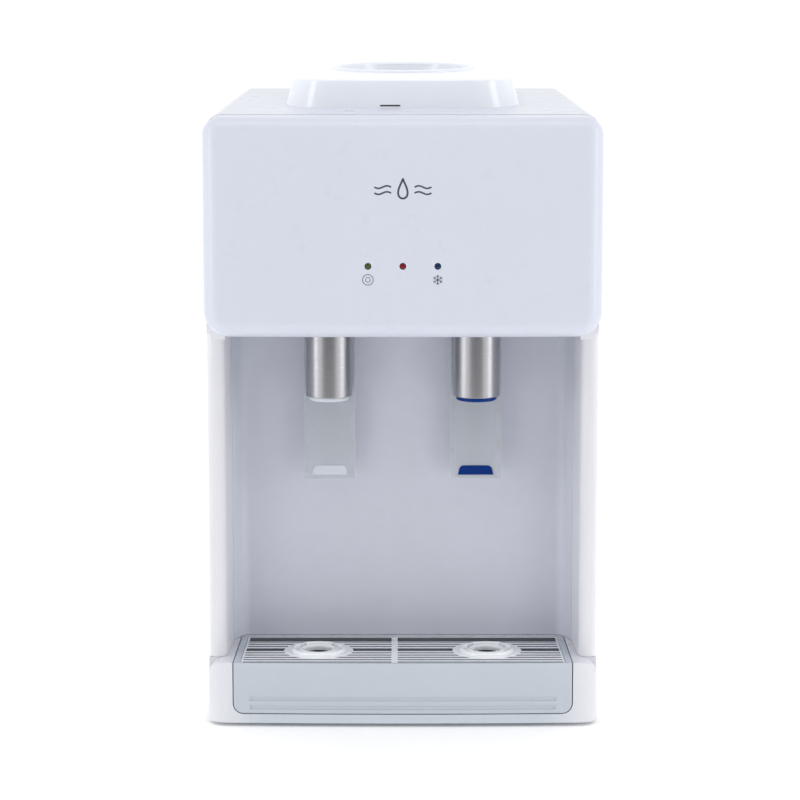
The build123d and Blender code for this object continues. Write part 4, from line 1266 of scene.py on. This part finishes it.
@dataclass
class DrainShade:
    """Painted shade in the tray's basin and on the walls of the grille's slots."""

    rim: float = 5.5 * MM
    front_wall: float = 4.0 * MM
    basin_floor: float = 2 * MM
    under_grille: float = 0.5 * MM
    slot_side: float = 1.2 * MM
    slot_end: float = 1.0 * MM
    tray: tuple[Vector, Vector] = field(default_factory=lambda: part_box("drip_tray"))
    grille: tuple[Vector, Vector] = field(default_factory=lambda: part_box("drip_grille"))

    def in_basin(self, face: bpy.types.MeshPolygon) -> bool:
        """Whether a face of the tray lies down in its basin."""
        low, high = self.tray
        middle = face.center
        return (abs(middle.x) < high.x - self.rim and middle.y > low.y + self.front_wall
                and low.z + self.basin_floor < middle.z < self.grille[0].z - self.under_grille)

    def in_slot(self, face: bpy.types.MeshPolygon) -> bool:
        """Whether a face of the grille is a wall of one of its slots."""
        low, high = self.grille
        middle = face.center
        return (abs(face.normal.z) < 0.5 and abs(middle.x) < high.x - self.slot_side
                and low.y + self.slot_end < middle.y < high.y - self.slot_end)

    def build(self) -> list[bpy.types.Object]:
        """Paint shade on both nodes and return them."""
        # Painted shade: the basin faces and the slot walls get dark greys that stand for shade.
        return [shade_faces("drip_tray", "basin_shade_paint", self.in_basin),
                shade_faces("drip_grille", "slot_shadow", self.in_slot)]


@dataclass(frozen=True)
class Lamp:
    """One rectangular light."""

    name: str
    place: Point3
    target: Point3
    size: Span
    power: float
    reflected: bool = True

    def hang(self) -> bpy.types.Object:
        """Hang the light and aim it.

        Returns:
            The light.
        """
        data = bpy.data.lights.new(self.name, "AREA")
        data.shape = "RECTANGLE"
        data.size, data.size_y = self.size
        data.energy = self.power
        lamp = bpy.data.objects.new(self.name, data)
        lamp.location = self.place
        aim = Vector(self.target) - Vector(self.place)
        lamp.rotation_euler = aim.to_track_quat("-Z", "Y").to_euler()
        lamp.visible_glossy = self.reflected
        bpy.context.scene.collection.objects.link(lamp)
        return lamp


MACHINE_MIDDLE = (0.0, 0.0, 0.25)
ALCOVE = (0.0, -0.06, 0.24)
LAMPS = (
    Lamp("left_softbox", (-1.9, -0.95, 0.7), MACHINE_MIDDLE, (0.5, 1.9), 8),
    Lamp("right_softbox", (1.9, -0.85, 0.7), MACHINE_MIDDLE, (0.6, 1.9), 9),
    Lamp("top_softbox", (0, -0.55, 2.2), MACHINE_MIDDLE, (1.8, 0.25), 4.5),
    Lamp("left_fill", (-1.0, -1.7, 0.14), ALCOVE, (0.6, 0.25), 2.0, reflected=False),
    Lamp("right_fill", (1.0, -1.7, 0.14), ALCOVE, (0.6, 0.25), 2.0, reflected=False),
)


@dataclass
class Studio:
    """Floor, lights, dark card and camera."""

    lens: float = 144.0
    distance: float = 2.63272
    height: float = 0.67414
    pitch_down: float = 9.4
    side: float = -0.0022
    floor_half: float = 40.0
    world_strength: float = 1.04
    world_front: float = 0.32
    world_fade: Span = (0.45, 0.9)
    sensor_width: float = 36.0
    sight: float = 80.0
    card_x: Span = (-0.8, 0.8)
    card_y: Span = (-1.38, -1.35)
    card_z: Span = (0.0, 0.42)

    def build_floor(self) -> bpy.types.Object:
        """Lay the plain pale floor and return it."""
        half = self.floor_half
        verts = [(-half, -half, 0), (half, -half, 0), (half, half, 0), (-half, half, 0)]
        floor = mesh_piece("studio_floor", verts, [(0, 1, 2, 3)])
        dress(floor, "floor")
        return floor

    def build_card(self) -> bpy.types.Object:
        """Stand a dark card before the machine for glossy surfaces to reflect.

        Returns:
            The card, which the camera doesn't see and which casts no shadow.
        """
        card = dress(block("studio_flag", self.card_x, self.card_y, self.card_z), "black_plastic")
        card.visible_camera = False
        card.visible_shadow = False
        card.visible_diffuse = False
        return card

    def build_world(self) -> None:
        """Fill the surroundings with white, dimmer behind the camera."""
        world = bpy.data.worlds.new("studio_world")
        world.use_nodes = True
        bench = Bench(world.node_tree)
        background = next(n for n in world.node_tree.nodes if n.type == "BACKGROUND")
        split = bench.add("ShaderNodeSeparateXYZ")
        bench.join(bench.add("ShaderNodeTexCoord").outputs["Generated"], split.inputs[0])
        toward = bench.calc("MULTIPLY", split.outputs["Y"], -1.0)
        bench.join(bench.remap(toward, *self.world_fade, self.world_strength, self.world_front),
                   background.inputs["Strength"])
        background.inputs["Color"].default_value = (1, 1, 1, 1)
        bpy.context.scene.world = world
        bpy.context.scene.view_settings.view_transform = "Standard"

    def build_camera(self) -> bpy.types.Object:
        """Place the camera in front of the machine, a little above it.

        Returns:
            The camera.
        """
        data = bpy.data.cameras.new("studio_camera")
        data.lens = self.lens
        data.sensor_width = self.sensor_width
        data.clip_end = self.sight
        camera = bpy.data.objects.new("studio_camera", data)
        camera.location = (self.side, -self.distance, self.height)
        camera.rotation_euler = (math.radians(90 - self.pitch_down), 0, 0)
        bpy.context.scene.collection.objects.link(camera)
        bpy.context.scene.camera = camera
        return camera

    def build(self) -> list[bpy.types.Object]:
        """Build the whole studio.

        Returns:
            Its floor, lights, card and camera.
        """
        pieces = [self.build_floor()]
        pieces += [lamp.hang() for lamp in LAMPS]
        pieces.append(self.build_card())
        self.build_world()
        pieces.append(self.build_camera())
        return pieces


def report(label: str, pieces: Iterable[bpy.types.Object]) -> None:
    """Log each piece that a sub-assembly dressed or built.

    Args:
        label: The sub-assembly.
        pieces: Its pieces.
    """
    for piece in pieces:
        LOG.info("%s: %s", label, piece.name)


def main() -> None:
    """Dress the frame, build the finer pieces and the studio, and report each piece."""
    logging.basicConfig(level=logging.INFO, format="%(message)s")
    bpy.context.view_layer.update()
    for label, dressing in (("shell", SHELL), ("taps", TAPS), ("rear", REAR), ("inside", INSIDE)):
        report(label, dressing.apply())
    low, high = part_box("head_cover")
    face = HeadFace(front=low.y)
    cover = HeadCover(face, rear=high.y, low=low.z, top=high.z)
    report("head cover", [cover.build()])
    report("lights", Lights(cover).build())
    report("prints", Prints(face, low=low.z).build())
    report("seat slot", [SeatSlotShade().build()])
    report("drain", DrainShade().build())
    for side in Side:
        report("valve spring", [ValveSpring(side).build()])
    report("studio", Studio().build())


if __name__ == "__main__":
    main()
